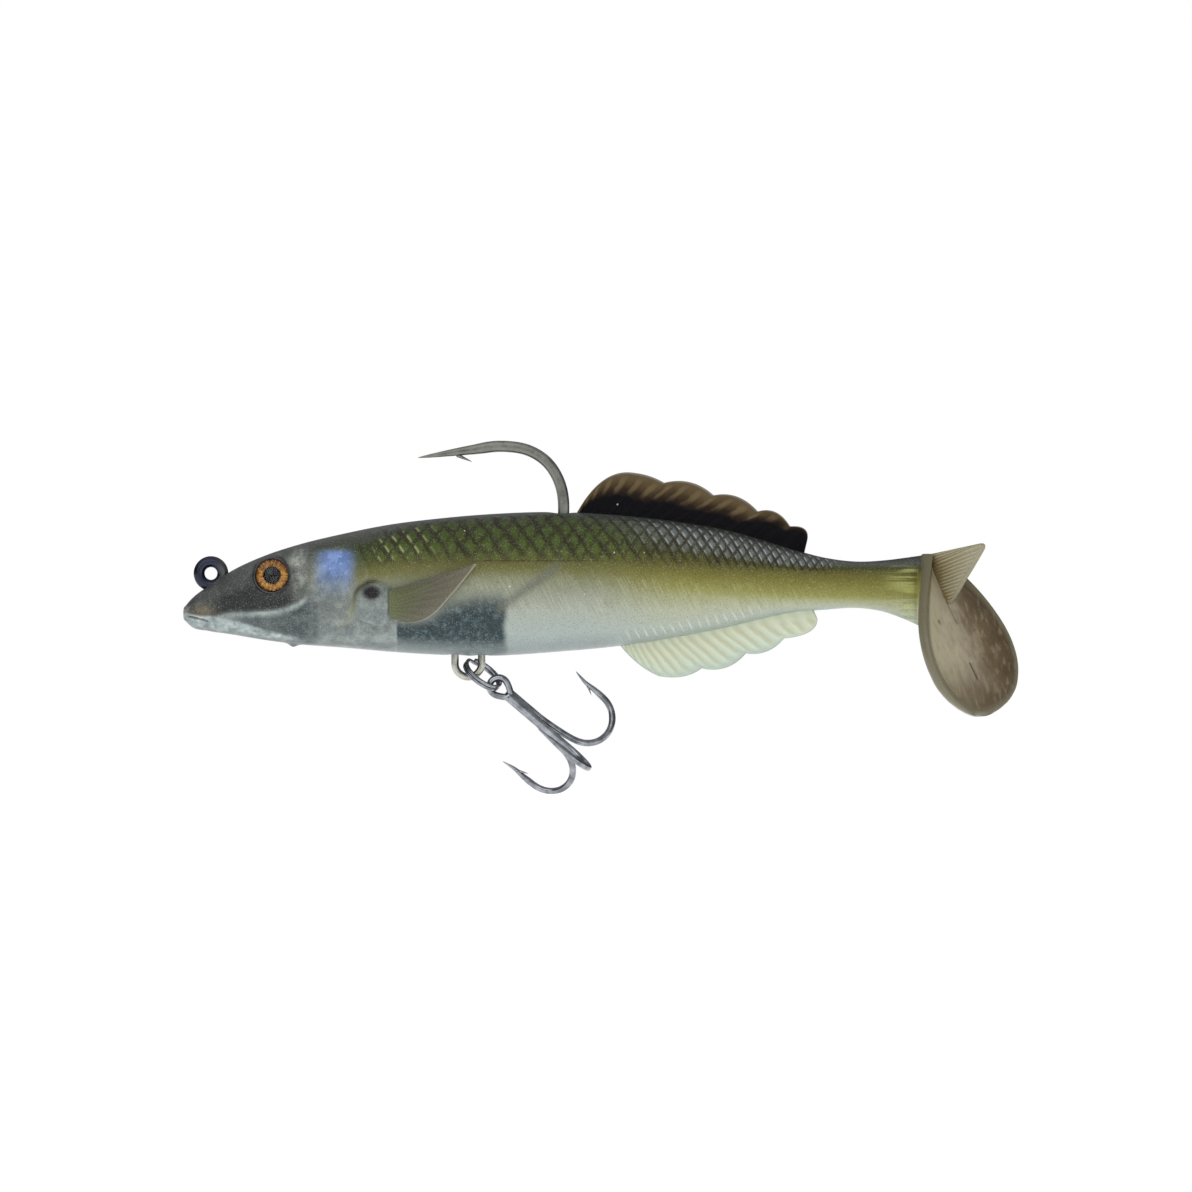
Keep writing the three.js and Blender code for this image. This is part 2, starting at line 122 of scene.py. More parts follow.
# Free edges of the fins, as curves of (control u, control v, end u, end v) each from the last one's end.
DORSAL_LOBES = [
    (65.4, 17.6, 70.6, 16.9),
    (73.6, 16.6, 75.9, 15.2),
    (80.6, 16.4, 84.2, 13.1),
    (88.4, 14.0, 91.6, 10.4),
    (94.9, 11.4, 97.0, 7.9),
    (100.4, 8.2, 99.9, 5.6),
]
ANAL_LOBES = [
    (71.5, -15.8, 75.0, -17.2),
    (79.5, -18.0, 82.2, -15.9),
    (86.7, -16.9, 89.6, -13.4),
    (93.4, -14.0, 96.0, -10.9),
    (101.6, -10.4, 101.6, -7.6),
]

CAUDAL_CURVES = [
    (8.4, 4.1, 14.4, 5.0),
    (15.8, 5.1, 15.2, 4.0),
    (12.4, 0.6, 11.0, -0.8),
    (8.9, -3.4, 7.0, -5.0),
]
PECTORAL_CURVES = [
    (7.4, -0.4, 13.6, 1.5),
    (14.7, 1.9, 13.9, 1.1),
    (11.0, -2.6, 8.3, -5.6),
    (5.8, -8.4, 2.6, -8.2),
    (1.0, -8.0, -0.2, -7.2),
]

# ---------------------------------------------------------------- curves and grids


def ease(value, low, high):
    """0 below low, 1 above high, smooth between them. High may be the lower one."""
    t = np.clip((np.asarray(value, float) - low) / (high - low), 0, 1)
    return t * t * (3 - 2 * t)


def spot(x, z, middle, reach):
    """1 at the middle of a soft ellipse, falling to 0 about 1.5 reaches away."""
    return np.exp(-(((x - middle[0]) / reach[0]) ** 2) - ((z - middle[1]) / reach[1]) ** 2)


def window(value, start, full, fade, end):
    """0 outside start and end, 1 between full and fade, smooth between them."""
    return ease(value, start, full) * ease(value, end, fade)


def ridge(offset, width):
    """1 on a line, falling to 0 about 1.5 widths away."""
    return np.exp(-((offset / width) ** 2))


def spline(x, knots, values):
    """A smooth curve through a few values: a cubic with averaged slopes, level beyond its ends."""
    knots, values = np.asarray(knots, float), np.asarray(values, float)
    slopes = np.gradient(values, knots)
    x = np.clip(x, knots[0], knots[-1])
    k = np.clip(np.searchsorted(knots, x) - 1, 0, len(knots) - 2)
    width = knots[k + 1] - knots[k]
    t = (x - knots[k]) / width
    start = (1 + 2 * t) * (1 - t) ** 2 * values[k] + t * (1 - t) ** 2 * width * slopes[k]
    end = t * t * (3 - 2 * t) * values[k + 1] + t * t * (t - 1) * width * slopes[k + 1]
    return start + end


def resample(points, count):
    """The points of a line, spaced evenly along its length."""
    points = np.asarray(points, float)
    reach = np.concatenate([[0], np.cumsum(np.linalg.norm(np.diff(points, axis=0), axis=1))])
    wanted = np.linspace(0, reach[-1], count)
    return np.stack([np.interp(wanted, reach, column) for column in points.T], axis=1)


def smooth_line(points, count):
    """An even line along the smooth curve through some points."""
    points = np.asarray(points, float)
    knots = np.concatenate([[0], np.cumsum(np.linalg.norm(np.diff(points, axis=0), axis=1) ** 0.5)])
    t = np.linspace(0, knots[-1], count * 8)
    return resample(np.stack([spline(t, knots, column) for column in points.T], axis=1), count)


def bulge(value, square):
    """A sine or cosine of a superellipse's section."""
    return np.sign(value) * np.abs(value) ** (2 / square)


def unit(vectors):
    return vectors / np.maximum(np.linalg.norm(vectors, axis=-1, keepdims=True), 1e-9)


def grid_faces(rows, columns):
    """Quads of a grid whose rows are closed rings."""
    r, c = np.meshgrid(np.arange(rows - 1), np.arange(columns), indexing="ij")
    a = r * columns + c
    b = r * columns + (c + 1) % columns
    return np.stack([a, b, b + columns, a + columns], axis=-1).reshape(-1, 4).tolist()


def capped(rings):
    """Rings of points as a closed shell: (points, faces), with a fan over each end."""
    rows, columns = rings.shape[:2]
    points = np.concatenate([rings.reshape(-1, 3), [rings[0].mean(0)], [rings[-1].mean(0)]])
    faces = grid_faces(rows, columns)
    first, last = rows * columns, (rows - 1) * columns
    for i in range(columns):
        j = (i + 1) % columns
        faces.append([j, i, first])
        faces.append([last + i, last + j, first + 1])
    return points, faces


def joined(*shells):
    """Several shells as one."""
    points, faces, count = [], [], 0
    for shell_points, shell_faces in shells:
        points.append(shell_points)
        faces += [[corner + count for corner in face] for face in shell_faces]
        count += len(shell_points)
    return np.concatenate(points), faces


def tube(line, radii, sides=20, side_axis=(0, 1, 0), square=2.0, width=1.0):
    """A closed wire along a line. Its section is a superellipse, its width a share of its height."""
    line = np.asarray(line, float)
    radii = np.broadcast_to(radii, len(line))
    tangent = unit(np.gradient(line, axis=0))
    side = np.asarray(side_axis, float) - (tangent @ np.asarray(side_axis, float))[:, None] * tangent
    side = unit(side)
    up = np.cross(tangent, side)
    angle = np.linspace(0, 2 * pi, sides, endpoint=False)
    across = bulge(np.cos(angle), square)[None, :, None] * side[:, None, :] * width
    upward = bulge(np.sin(angle), square)[None, :, None] * up[:, None, :]
    return capped(line[:, None, :] + radii[:, None, None] * (across + upward))


def turned(profile, sides, centre, side):
    """A profile of (radius, distance out) turned about an axis along Y, on one side of the lure."""
    angle = np.linspace(0, 2 * pi, sides, endpoint=False)
    rings = []
    for radius, out in profile:
        radius = max(radius, 1e-4)
        x = centre[0] + radius * np.cos(angle)
        z = centre[1] + radius * np.sin(angle)
        rings.append(np.stack([x, np.full(sides, side * out), z], axis=1))
    return capped(np.array(rings))


def arc(centre, radius, start, end, count):
    """Points (u, v) of a circle's arc between two angles in degrees."""
    angle = np.radians(np.linspace(start, end, count))
    return np.stack([centre[0] + radius * np.cos(angle), centre[1] + radius * np.sin(angle)], axis=1)


def lobed_edge(front, lobes, count):
    """A scalloped free edge of quadratic curves, as an even line in x and z."""
    points, start = [np.array(front)], np.array(front, float)
    for control_x, control_z, x, z in lobes:
        control, end = np.array([control_x, control_z]), np.array([x, z])
        for t in np.linspace(0, 1, 25)[1:]:
            points.append((1 - t) ** 2 * start + 2 * t * (1 - t) * control + t * t * end)
        start = end
    return resample(points, count)


# ---------------------------------------------------------------- pieces


def add_attributes(mesh, attributes):
    for key, values in attributes.items():
        values = np.asarray(values, np.float32)
        if values.ndim == 2:
            mesh.attributes.new(key, "FLOAT_VECTOR", "POINT").data.foreach_set("vector", values.ravel())
        else:
            mesh.attributes.new(key, "FLOAT", "POINT").data.foreach_set("value", values)


def volume_of(points, faces):
    total = 0.0
    for face in faces:
        a = points[face[0]]
        for b, c in zip(face[1:-1], face[2:]):
            total += np.dot(a, np.cross(points[b], points[c]))
    return total


def make_piece(name, shell, material, attributes=None, weld=True):
    """A smooth-shaded object from a shell in millimetres, its faces turned outwards."""
    points, faces = shell
    if volume_of(points, faces) < 0:
        faces = [face[::-1] for face in faces]
    mesh = bpy.data.meshes.new(name)
    mesh.from_pydata((points * MM).tolist(), [], faces)
    add_attributes(mesh, {"place": points, **(attributes or {})})
    if weld:
        build = bmesh.new()
        build.from_mesh(mesh)
        bmesh.ops.remove_doubles(build, verts=build.verts, dist=0.004 * MM)
        build.to_mesh(mesh)
        build.free()
    mesh.polygons.foreach_set("use_smooth", [True] * len(mesh.polygons))
    mesh.materials.append(material)
    made = bpy.data.objects.new(name, mesh)
    bpy.context.scene.collection.objects.link(made)
    return made


# ---------------------------------------------------------------- material nodes

# Sockets of a Mix node that mixes colours.
COLOUR_A, COLOUR_B, COLOUR_OUT = 6, 7, 2


def srgb(red, green, blue):
    """A colour written as screen values, as the linear colour that a shader takes."""
    parts = [value / 255 for value in (red, green, blue)]
    return tuple(p / 12.92 if p <= 0.04045 else ((p + 0.055) / 1.055) ** 2.4 for p in parts) + (1.0,)


class Value:
    """What a node puts out, so that arithmetic on it can be written as arithmetic."""

    def __init__(self, nodes, socket):
        self.nodes, self.socket = nodes, socket

    def __add__(self, other):
        return self.nodes.math("ADD", self, other)

    def __sub__(self, other):
        return self.nodes.math("SUBTRACT", self, other)

    def __rsub__(self, other):
        return self.nodes.math("SUBTRACT", other, self)

    def __mul__(self, other):
        return self.nodes.math("MULTIPLY", self, other)

    def __abs__(self):
        return self.nodes.math("ABSOLUTE", self)


class Nodes:
    """Short calls that add and link the shader nodes of one material."""

    def __init__(self, name):
        self.material = bpy.data.materials.new(name)
        self.material.use_nodes = True
        self.tree = self.material.node_tree
        self.tree.nodes.clear()

    def add(self, kind, **settings):
        made = self.tree.nodes.new("ShaderNode" + kind)
        for key, value in settings.items():
            setattr(made, key, value)
        return made

    def put(self, value, socket):
        """Feed an input with a Value, another node's output or a constant."""
        if isinstance(value, Value):
            value = value.socket
        if isinstance(value, bpy.types.NodeSocket):
            self.tree.links.new(value, socket)
        else:
            socket.default_value = value

    def made(self, kind, output, inputs, **settings):
        """Add a node, feed its inputs by name or number, and give the output asked for."""
        node = self.add(kind, **settings)
        for key, value in inputs.items():
            self.put(value, node.inputs[key])
        return Value(self, node.outputs[output])

    def math(self, operation, a, b=0.0):
        return self.made("Math", 0, {0: a, 1: b}, operation=operation)

    def value(self, name):
        """A number attribute."""
        return self.made("Attribute", "Fac", {}, attribute_name=name)

    def vector(self, name):
        """A vector attribute."""
        return self.made("Attribute", "Vector", {}, attribute_name=name)

    def parts(self, name):
        """The three numbers of a vector attribute."""
        split = self.add("SeparateXYZ")
        self.put(self.vector(name), split.inputs[0])
        return [Value(self, socket) for socket in split.outputs]

    def joined(self, *numbers):
        """Three numbers as a vector."""
        return self.made("CombineXYZ", 0, dict(enumerate(numbers)))

    def place(self, scale=(1, 1, 1)):
        """The point's place at rest in millimetres, stretched by a scale."""
        return self.made("VectorMath", 0, {0: self.vector("place"), 1: scale}, operation="MULTIPLY")

    def noise(self, vector, scale, detail=4.0, rough=0.55):
        inputs = {"Vector": vector, "Scale": scale, "Detail": detail, "Roughness": rough}
        return self.made("TexNoise", "Fac", inputs)

    def flecks(self, vector, scale, size, share):
        """Small round flecks: 1 inside one. Share is how many cells hold one."""
        cells = self.add("TexVoronoi", feature="F1")
        self.put(vector, cells.inputs["Vector"])
        cells.inputs["Scale"].default_value = scale
        near = self.math("LESS_THAN", cells.outputs["Distance"], size)
        split = self.add("SeparateXYZ")
        self.put(cells.outputs["Color"], split.inputs[0])
        return near * self.math("LESS_THAN", split.outputs[0], share)

    def ramp(self, value, stops):
        """A colour by a value, through stops of (position, colour)."""
        made = self.add("ValToRGB")
        elements = made.color_ramp.elements
        while len(elements) < len(stops):
            elements.new(0.5)
        for element, (position, colour) in zip(elements, stops):
            element.position = position
            element.color = colour
        self.put(value, made.inputs[0])
        return Value(self, made.outputs[0])

    def span(self, value, low, high, out_low=0.0, out_high=1.0):
        """A value eased from one range to another."""
        inputs = {0: value, 1: low, 2: high, 3: out_low, 4: out_high}
        return self.made("MapRange", 0, inputs, interpolation_type="SMOOTHSTEP")

    def mix(self, share, a, b):
        """From colour a to colour b by a share."""
        return self.made("Mix", COLOUR_OUT, {0: share, COLOUR_A: a, COLOUR_B: b}, data_type="RGBA")

    def bump(self, height, distance):
        """Bump of a height in units of the given distance, in millimetres."""
        return self.made("Bump", "Normal", {"Height": height, "Strength": 1.0, "Distance": distance * MM})

    def surface(self, colour, roughness, normal=None, **constants):
        """A Principled shader. Constants are set on its own sockets, by name with _ for a space."""
        shader = self.add("BsdfPrincipled")
        self.put(colour, shader.inputs["Base Color"])
        self.put(roughness, shader.inputs["Roughness"])
        if normal is not None:
            self.put(normal, shader.inputs["Normal"])
        for key, value in constants.items():
            shader.inputs[key.replace("_", " ")].default_value = value
        output = self.add("OutputMaterial")
        self.put(shader.outputs[0], output.inputs[0])
        return self.material


# The flank's colours by tone: 0 at the belly line, 0.6 at the lateral line, 0.8 where the dark back begins.
FRONT_TONES = [
    (0.0, srgb(128, 137, 137)),
    (0.09, srgb(150, 161, 157)),
    (0.2, srgb(153, 159, 148)),
    (0.31, srgb(136, 140, 123)),
    (0.41, srgb(118, 120, 90)),
    (0.5, srgb(100, 99, 54)),
    (0.6, srgb(80, 80, 34)),
    (0.66, srgb(58, 66, 18)),
    (0.76, srgb(42, 50, 14)),
    (0.82, srgb(52, 58, 44)),
    (0.9, srgb(66, 69, 64)),
    (1.0, srgb(78, 80, 78)),
]
AFT_TONES = [
    (0.0, srgb(142, 152, 145)),
    (0.09, srgb(158, 165, 153)),
    (0.2, srgb(160, 164, 140)),
    (0.31, srgb(150, 152, 112)),
    (0.41, srgb(132, 131, 68)),
    (0.5, srgb(112, 108, 46)),
    (0.6, srgb(82, 79, 30)),
    (0.68, srgb(60, 61, 24)),
    (0.76, srgb(66, 69, 52)),
    (0.82, srgb(74, 77, 73)),
    (0.92, srgb(58, 60, 57)),
    (1.0, srgb(40, 41, 39)),
]


def skin_material():
    """The body's moulded plastic: banded colours, printed and moulded scales with painted shade and
    highlights on them, and what shows through it.
    """
    n = Nodes("soft_plastic_skin")
    cloudy = n.noise(n.place(), 0.32, 5.0)
    grain = n.noise(n.place(), 2.6, 3.0)
    tone = n.value("tone") + (cloudy - 0.5) * 0.07 + (grain - 0.5) * 0.025
    aft, lateral, streaks = n.parts("bands")
    colour = n.mix(aft, n.ramp(tone, FRONT_TONES), n.ramp(tone, AFT_TONES))

    # Fine slanting streaks on the lower flank.
    place_x, _, place_z = n.parts("place")
    slanted = n.joined((place_x + place_z * 0.5) * 2.4, 0.0, place_z * 0.28)
    stripe = n.noise(slanted, 1.0, 2.0)
    light = n.span(stripe, 0.5, 0.66) * (streaks * 0.14)
    dark = n.span(stripe, 0.5, 0.34) * (streaks * 0.2)
    colour = n.mix(light, colour, srgb(196, 200, 176))
    colour = n.mix(dark, colour, srgb(112, 108, 74))
    from_line = abs(place_z - LATERAL_LINE)
    colour = n.mix(n.span(from_line, 0.16, 0.04) * lateral, colour, srgb(58, 42, 20))

    # Scales: a lattice of diamonds whose borders lie where either lattice coordinate is whole.
    rising, falling, scaly = n.parts("lattice")
    edges = []
    wobble = n.noise(n.place(), 0.42, 3.0)
    for coordinate, thin, wide in ((falling, 0.02, 0.34), (rising, 0.02, 0.27)):
        from_border = 0.5 - abs(n.math("FRACT", coordinate + (wobble - 0.5) * 0.8) - 0.5)
        edges.append(n.span(from_border, thin, wide, 1.0, 0.0))
    patchy = n.span(cloudy, 0.36, 0.62, 0.6, 1.0)
    # The dark borders are the scales' printed outline together with painted shade where each scale overlaps
    # the next, darker along the falling slant.
    border = n.math("MAXIMUM", edges[0], edges[1] * 0.7) * patchy
    glow = n.span(border, 0.75, 0.15) * scaly
    leafy = glow * n.span(tone, 0.9, 0.72)
    colour = n.mix(leafy * n.span(aft, 0.75, 0.2, 0.0, 0.36), colour, srgb(74, 94, 28))
    # Painted highlights along each scale's rim: pale on the front scales and silver on the rear ones, which
    # also get a silvery fill.
    across, along = n.math("FRACT", falling), n.math("FRACT", rising)
    rim_light = n.span(across, 0.1, 0.2) * n.span(across, 0.38, 0.24)
    rim_light = rim_light * (n.span(along, 0.12, 0.3) * n.span(along, 0.9, 0.7))
    silver_and_highlight, front_rim_highlight, ticks = n.parts("sheen")
    colour = n.mix(glow * silver_and_highlight * 0.42, colour, srgb(116, 122, 124))
    # Painted shade and the printed outline darken the scale borders.
    colour = n.mix(border * scaly * 0.85, colour, srgb(34, 26, 10))
    colour = n.mix(rim_light * front_rim_highlight, colour, srgb(196, 200, 140))
    colour = n.mix(rim_light * silver_and_highlight * 0.56, colour, srgb(170, 176, 176))
    tick_wave = n.math("FRACT", place_x * 0.62 + (place_z * 0.3 + cloudy * 0.6))
    tick = n.span(abs(tick_wave - 0.5), 0.2, 0.04)
    ticks = tick * ticks
    colour = n.mix(ticks * 0.4, colour, srgb(206, 212, 202))
    rays = n.span(n.noise(n.place((0.1, 0.4, 2.2)), 1.0, 2.0), 0.42, 0.6)
    colour = n.mix(rays * n.value("stem") * 0.42, colour, srgb(200, 204, 132))

    # The lead and the hook's shank, seen through the plastic.
    slug, shank, gill_edge = n.parts("inside")
    mottle = n.noise(n.place(), 0.9, 6.0, 0.7)
    slate = n.ramp(mottle, [(0.3, srgb(14, 30, 38)), (0.5, srgb(30, 47, 53)), (0.72, srgb(84, 104, 110))])
    colour = n.mix(slug, colour, slate)
    colour = n.mix(shank * 0.75, colour, srgb(96, 99, 90))

    # The head, its pale jaw and the pearl patch behind it.
    head, jaw, blue = n.parts("face")
    pale_low, slate_jaw, eye_highlight_and_nose_patch = n.parts("jawline")
    cheek, brown, dark_spot_and_shade = n.parts("cheeks")
    blotch = n.noise(n.place(), 0.42, 6.0, 0.65)
    skull = n.ramp(blotch, [(0.3, srgb(56, 58, 59)), (0.55, srgb(70, 73, 72)), (0.75, srgb(98, 102, 98))])
    jawbone = n.ramp(
        blotch, [(0.28, srgb(80, 87, 89)), (0.45, srgb(99, 106, 106)), (0.62, srgb(132, 140, 137))]
    )
    slated = n.mix(n.span(mottle, 0.35, 0.7), srgb(46, 54, 58), srgb(86, 94, 95))
    chalky = n.ramp(
        mottle, [(0.3, srgb(112, 125, 128)), (0.5, srgb(146, 158, 158)), (0.7, srgb(186, 195, 188))]
    )
    jawbone = n.mix(slate_jaw * 0.85, jawbone, slated)
    jawbone = n.mix(pale_low * n.span(blotch, 0.3, 0.5, 0.45, 1.0), jawbone, chalky)
    colour = n.mix(head, colour, skull)
    dusky = n.mix(n.span(mottle, 0.35, 0.75, 0.0, 0.3), srgb(35, 36, 38), srgb(66, 68, 67))
    colour = n.mix(cheek, colour, dusky)
    # Painted highlight behind the eye, and the lighter nose tip.
    milky = n.mix(n.span(mottle, 0.4, 0.65), srgb(116, 122, 116), srgb(176, 180, 168))
    colour = n.mix(eye_highlight_and_nose_patch * 0.9, colour, milky)
    colour = n.mix(jaw, colour, jawbone)
    colour = n.mix(brown * 0.6, colour, srgb(120, 108, 82))
    pearl = n.mix(n.span(cloudy, 0.4, 0.62), srgb(86, 114, 166), srgb(116, 144, 204))
    # Pale spots on the pearl patch: painted highlights.
    pearl = n.mix(n.span(mottle, 0.52, 0.68) * 0.5, pearl, srgb(168, 190, 220))
    colour = n.mix(blue, colour, pearl)
    colour = n.mix(gill_edge, colour, srgb(128, 128, 92))
    # Near black: the shoulder's dark spot, with painted shade along the shoulder's crease and in the mouth's
    # slit.
    colour = n.mix(dark_spot_and_shade, colour, srgb(14, 10, 18))
    speckle = n.noise(n.place(), 4.5, 2.0, 0.6)
    colour = n.mix(n.span(speckle, 0.46, 0.3, 0.0, 0.3), colour, srgb(40, 42, 36))
    colour = n.mix(n.span(speckle, 0.54, 0.7, 0.0, 0.16), colour, srgb(200, 204, 188))
    colour = n.mix(n.flecks(n.place(), 0.4, 0.06, 0.06) * 0.6, colour, srgb(214, 214, 190))

    scale_height = (1.0 - border) * (scaly * 0.9)
    skin_height = grain * 0.3 + cloudy * 0.5 + stripe * (streaks * 0.8) + ticks * 0.6
    skin_height = skin_height + rays * (n.value("stem") * 0.5)
    normal = n.bump(scale_height + skin_height, 0.11)
    rough = n.span(mottle, 0.3, 0.7, 0.3, 0.42)
    return n.surface(
        colour, rough, normal, Specular_IOR_Level=0.16, Coat_Weight=0.04, Coat_Roughness=0.16
    )


def fin_material(name, stops, ray, ray_share, alpha, rim, count, ray_start=0.3, front_rim=None):
    """A moulded fin: colour by distance out from its root, with soft rays and a thin pale rim."""
    n = Nodes(name)
    along, out, _ = n.parts("fin")
    cloud = n.noise(n.place(), 0.5, 4.0)
    fine = n.noise(n.place(), 3.0, 3.0)
    warped = out + (cloud - 0.5) * 0.22 - n.span(along, 0.72, 1.0) * 0.4
    colour = n.ramp(warped, stops)
    turns = along * count + (cloud - 0.5) * 0.5
    wave = n.math("SINE", turns * (2 * pi))
    rays = n.span(wave, -0.2, 0.9) * n.span(warped, ray_start, ray_start + 0.22) * n.span(out, 0.98, 0.8)
    colour = n.mix(rays * ray_share, colour, ray)
    if front_rim is not None:
        rim = n.mix(n.span(along, 0.36, 0.46), front_rim, rim)
    colour = n.mix(n.span(out, 0.955, 0.985) * 0.8, colour, rim)
    colour = n.mix(n.flecks(n.place(), 0.5, 0.08, 0.05) * 0.5, colour, srgb(214, 212, 190))
    normal = n.bump(fine * 0.35 + wave * 0.25, 0.09)
    return n.surface(colour, n.span(fine, 0.3, 0.7, 0.26, 0.4), normal, Specular_IOR_Level=0.05, Alpha=alpha)


def paddle_material():
    """The paddle's smoky translucent plastic, browner and darker towards its far edge as painted shade, and
    pale along its brim.
    """
    n = Nodes("smoke_plastic_paddle")
    across, share, rim = n.parts("disc")
    marks = n.value("marks")
    cloud = n.noise(n.place(), 0.22, 5.0, 0.6)
    fine = n.noise(n.place((1.2, 1.2, 0.14)), 1.0, 3.0)
    # Lighter on the near half and darker brown on the far half: painted shade across the cupped face, over
    # the plastic's own smoky brown.
    side = across * 0.5 + 0.5 + (cloud - 0.5) * 0.5
    face = n.ramp(
        side,
        [
            (0.0, srgb(174, 167, 138)),
            (0.3, srgb(166, 157, 132)),
            (0.5, srgb(150, 139, 119)),
            (0.68, srgb(104, 90, 67)),
            (1.0, srgb(60, 44, 24)),
        ],
    )
    low = n.ramp(side, [(0.0, srgb(122, 110, 86)), (0.5, srgb(100, 87, 69)), (1.0, srgb(78, 63, 43))])
    colour = n.mix(n.span(share, 0.42, 0.05), face, low)
    colour = n.mix(n.span(fine, 0.48, 0.68) * 0.2, colour, srgb(176, 168, 142))
    colour = n.mix(n.span(fine, 0.48, 0.34) * 0.18, colour, srgb(78, 66, 46))
    brim = n.mix(n.span(share, 0.35, 0.9), srgb(108, 103, 84), srgb(100, 94, 70))
    colour = n.mix(rim, colour, brim)
    # Dark pressed lines on the face, and painted shadow in the groove inside the rim.
    colour = n.mix(marks, colour, srgb(48, 40, 26))
    colour = n.mix(n.flecks(n.place(), 0.4, 0.07, 0.04) * 0.4, colour, srgb(206, 200, 176))
    normal = n.bump(fine * 0.5 + cloud * 0.6, 0.14)
    return n.surface(
        colour,
        n.span(cloud, 0.3, 0.7, 0.26, 0.38),
        normal,
        Specular_IOR_Level=0.25,
        Coat_Weight=0.05,
        Coat_Roughness=0.2,
    )


def steel_material(name, light, dark, roughness, blue=None):
    """Polished and plated hook wire, with faint drawing marks and darker smudges."""
    n = Nodes(name)
    smudge = n.noise(n.place(), 0.5, 5.0, 0.6)
    drawn = n.noise(n.place((0.6, 6.0, 6.0)), 1.0, 2.0)
    colour = n.mix(n.span(smudge, 0.25, 0.75), dark, light)
    if blue is not None:
        colour = n.mix(n.value("blued"), colour, blue)
    normal = n.bump(drawn, 0.0008)
    rough = n.span(smudge, 0.3, 0.7, roughness * 0.75, roughness * 1.3)
    return n.surface(colour, rough, normal, Metallic=1.0)


def lead_material():
    n = Nodes("cast_lead")
    crust = n.noise(n.place(), 0.8, 6.0, 0.7)
    colour = n.ramp(crust, [(0.3, srgb(66, 76, 84)), (0.6, srgb(104, 114, 120)), (0.8, srgb(138, 146, 150))])
    return n.surface(colour, n.span(crust, 0.3, 0.7, 0.5, 0.75), n.bump(crust, 0.2), Metallic=0.8)


def cup_material():
    n = Nodes("black_eye_cup")
    fine = n.noise(n.place(), 4.0, 3.0)
    colour = n.mix(n.span(fine, 0.4, 0.7), srgb(10, 10, 13), srgb(26, 26, 30))
    return n.surface(colour, n.span(fine, 0.3, 0.7, 0.2, 0.34), n.bump(fine, 0.02), Coat_Weight=0.4)


def iris_material():
    """An amber foil iris: a dark pupil, radial streaks and a ragged dark border."""
    n = Nodes("amber_iris")
    way_x, way_z, reach = n.parts("iris")
    around = n.joined(way_x * 2.6, way_z * 2.6, reach * 1.4)
    streak = n.noise(around, 2.6, 5.0, 0.7)
    edge = reach + (streak - 0.5) * 0.34
    colour = n.ramp(
        edge,
        [
            (0.5, srgb(104, 60, 20)),
            (0.58, srgb(176, 122, 44)),
            (0.74, srgb(190, 136, 56)),
            (0.88, srgb(140, 84, 34)),
            (0.96, srgb(60, 32, 16)),
            (1.0, srgb(16, 10, 10)),
        ],
    )
    upper = n.span(way_z * reach, -0.1, 0.75)
    colour = n.mix(upper * 0.6, colour, srgb(112, 66, 44))
    colour = n.mix(n.span(streak, 0.53, 0.62) * 0.6, colour, srgb(236, 200, 120))
    colour = n.mix(n.span(streak, 0.48, 0.38) * 0.75, colour, srgb(64, 32, 16))
    pupil = n.span(reach, 0.545, 0.495)
    colour = n.mix(pupil, colour, srgb(8, 11, 15))
    gleam_x = way_x * reach + 0.14
    gleam_z = way_z * reach - 0.17
    away = n.math("SQRT", gleam_x * gleam_x + gleam_z * gleam_z)
    colour = n.mix(n.span(away, 0.24, 0.04) * 0.45, colour, srgb(74, 96, 88))
    rough = n.span(streak, 0.3, 0.7, 0.24, 0.42)
    return n.surface(colour, rough, n.bump(streak, 0.06), Specular_IOR_Level=0.1)


def dome_material():
    n = Nodes("clear_eye_dome")
    haze = n.noise(n.place(), 1.2, 2.0)
    return n.surface(
        (1.0, 1.0, 1.0, 1.0),
        n.span(haze, 0.3, 0.7, 0.0, 0.04),
        Transmission_Weight=1.0,
        IOR=1.25,
        Specular_IOR_Level=0.2,
    )


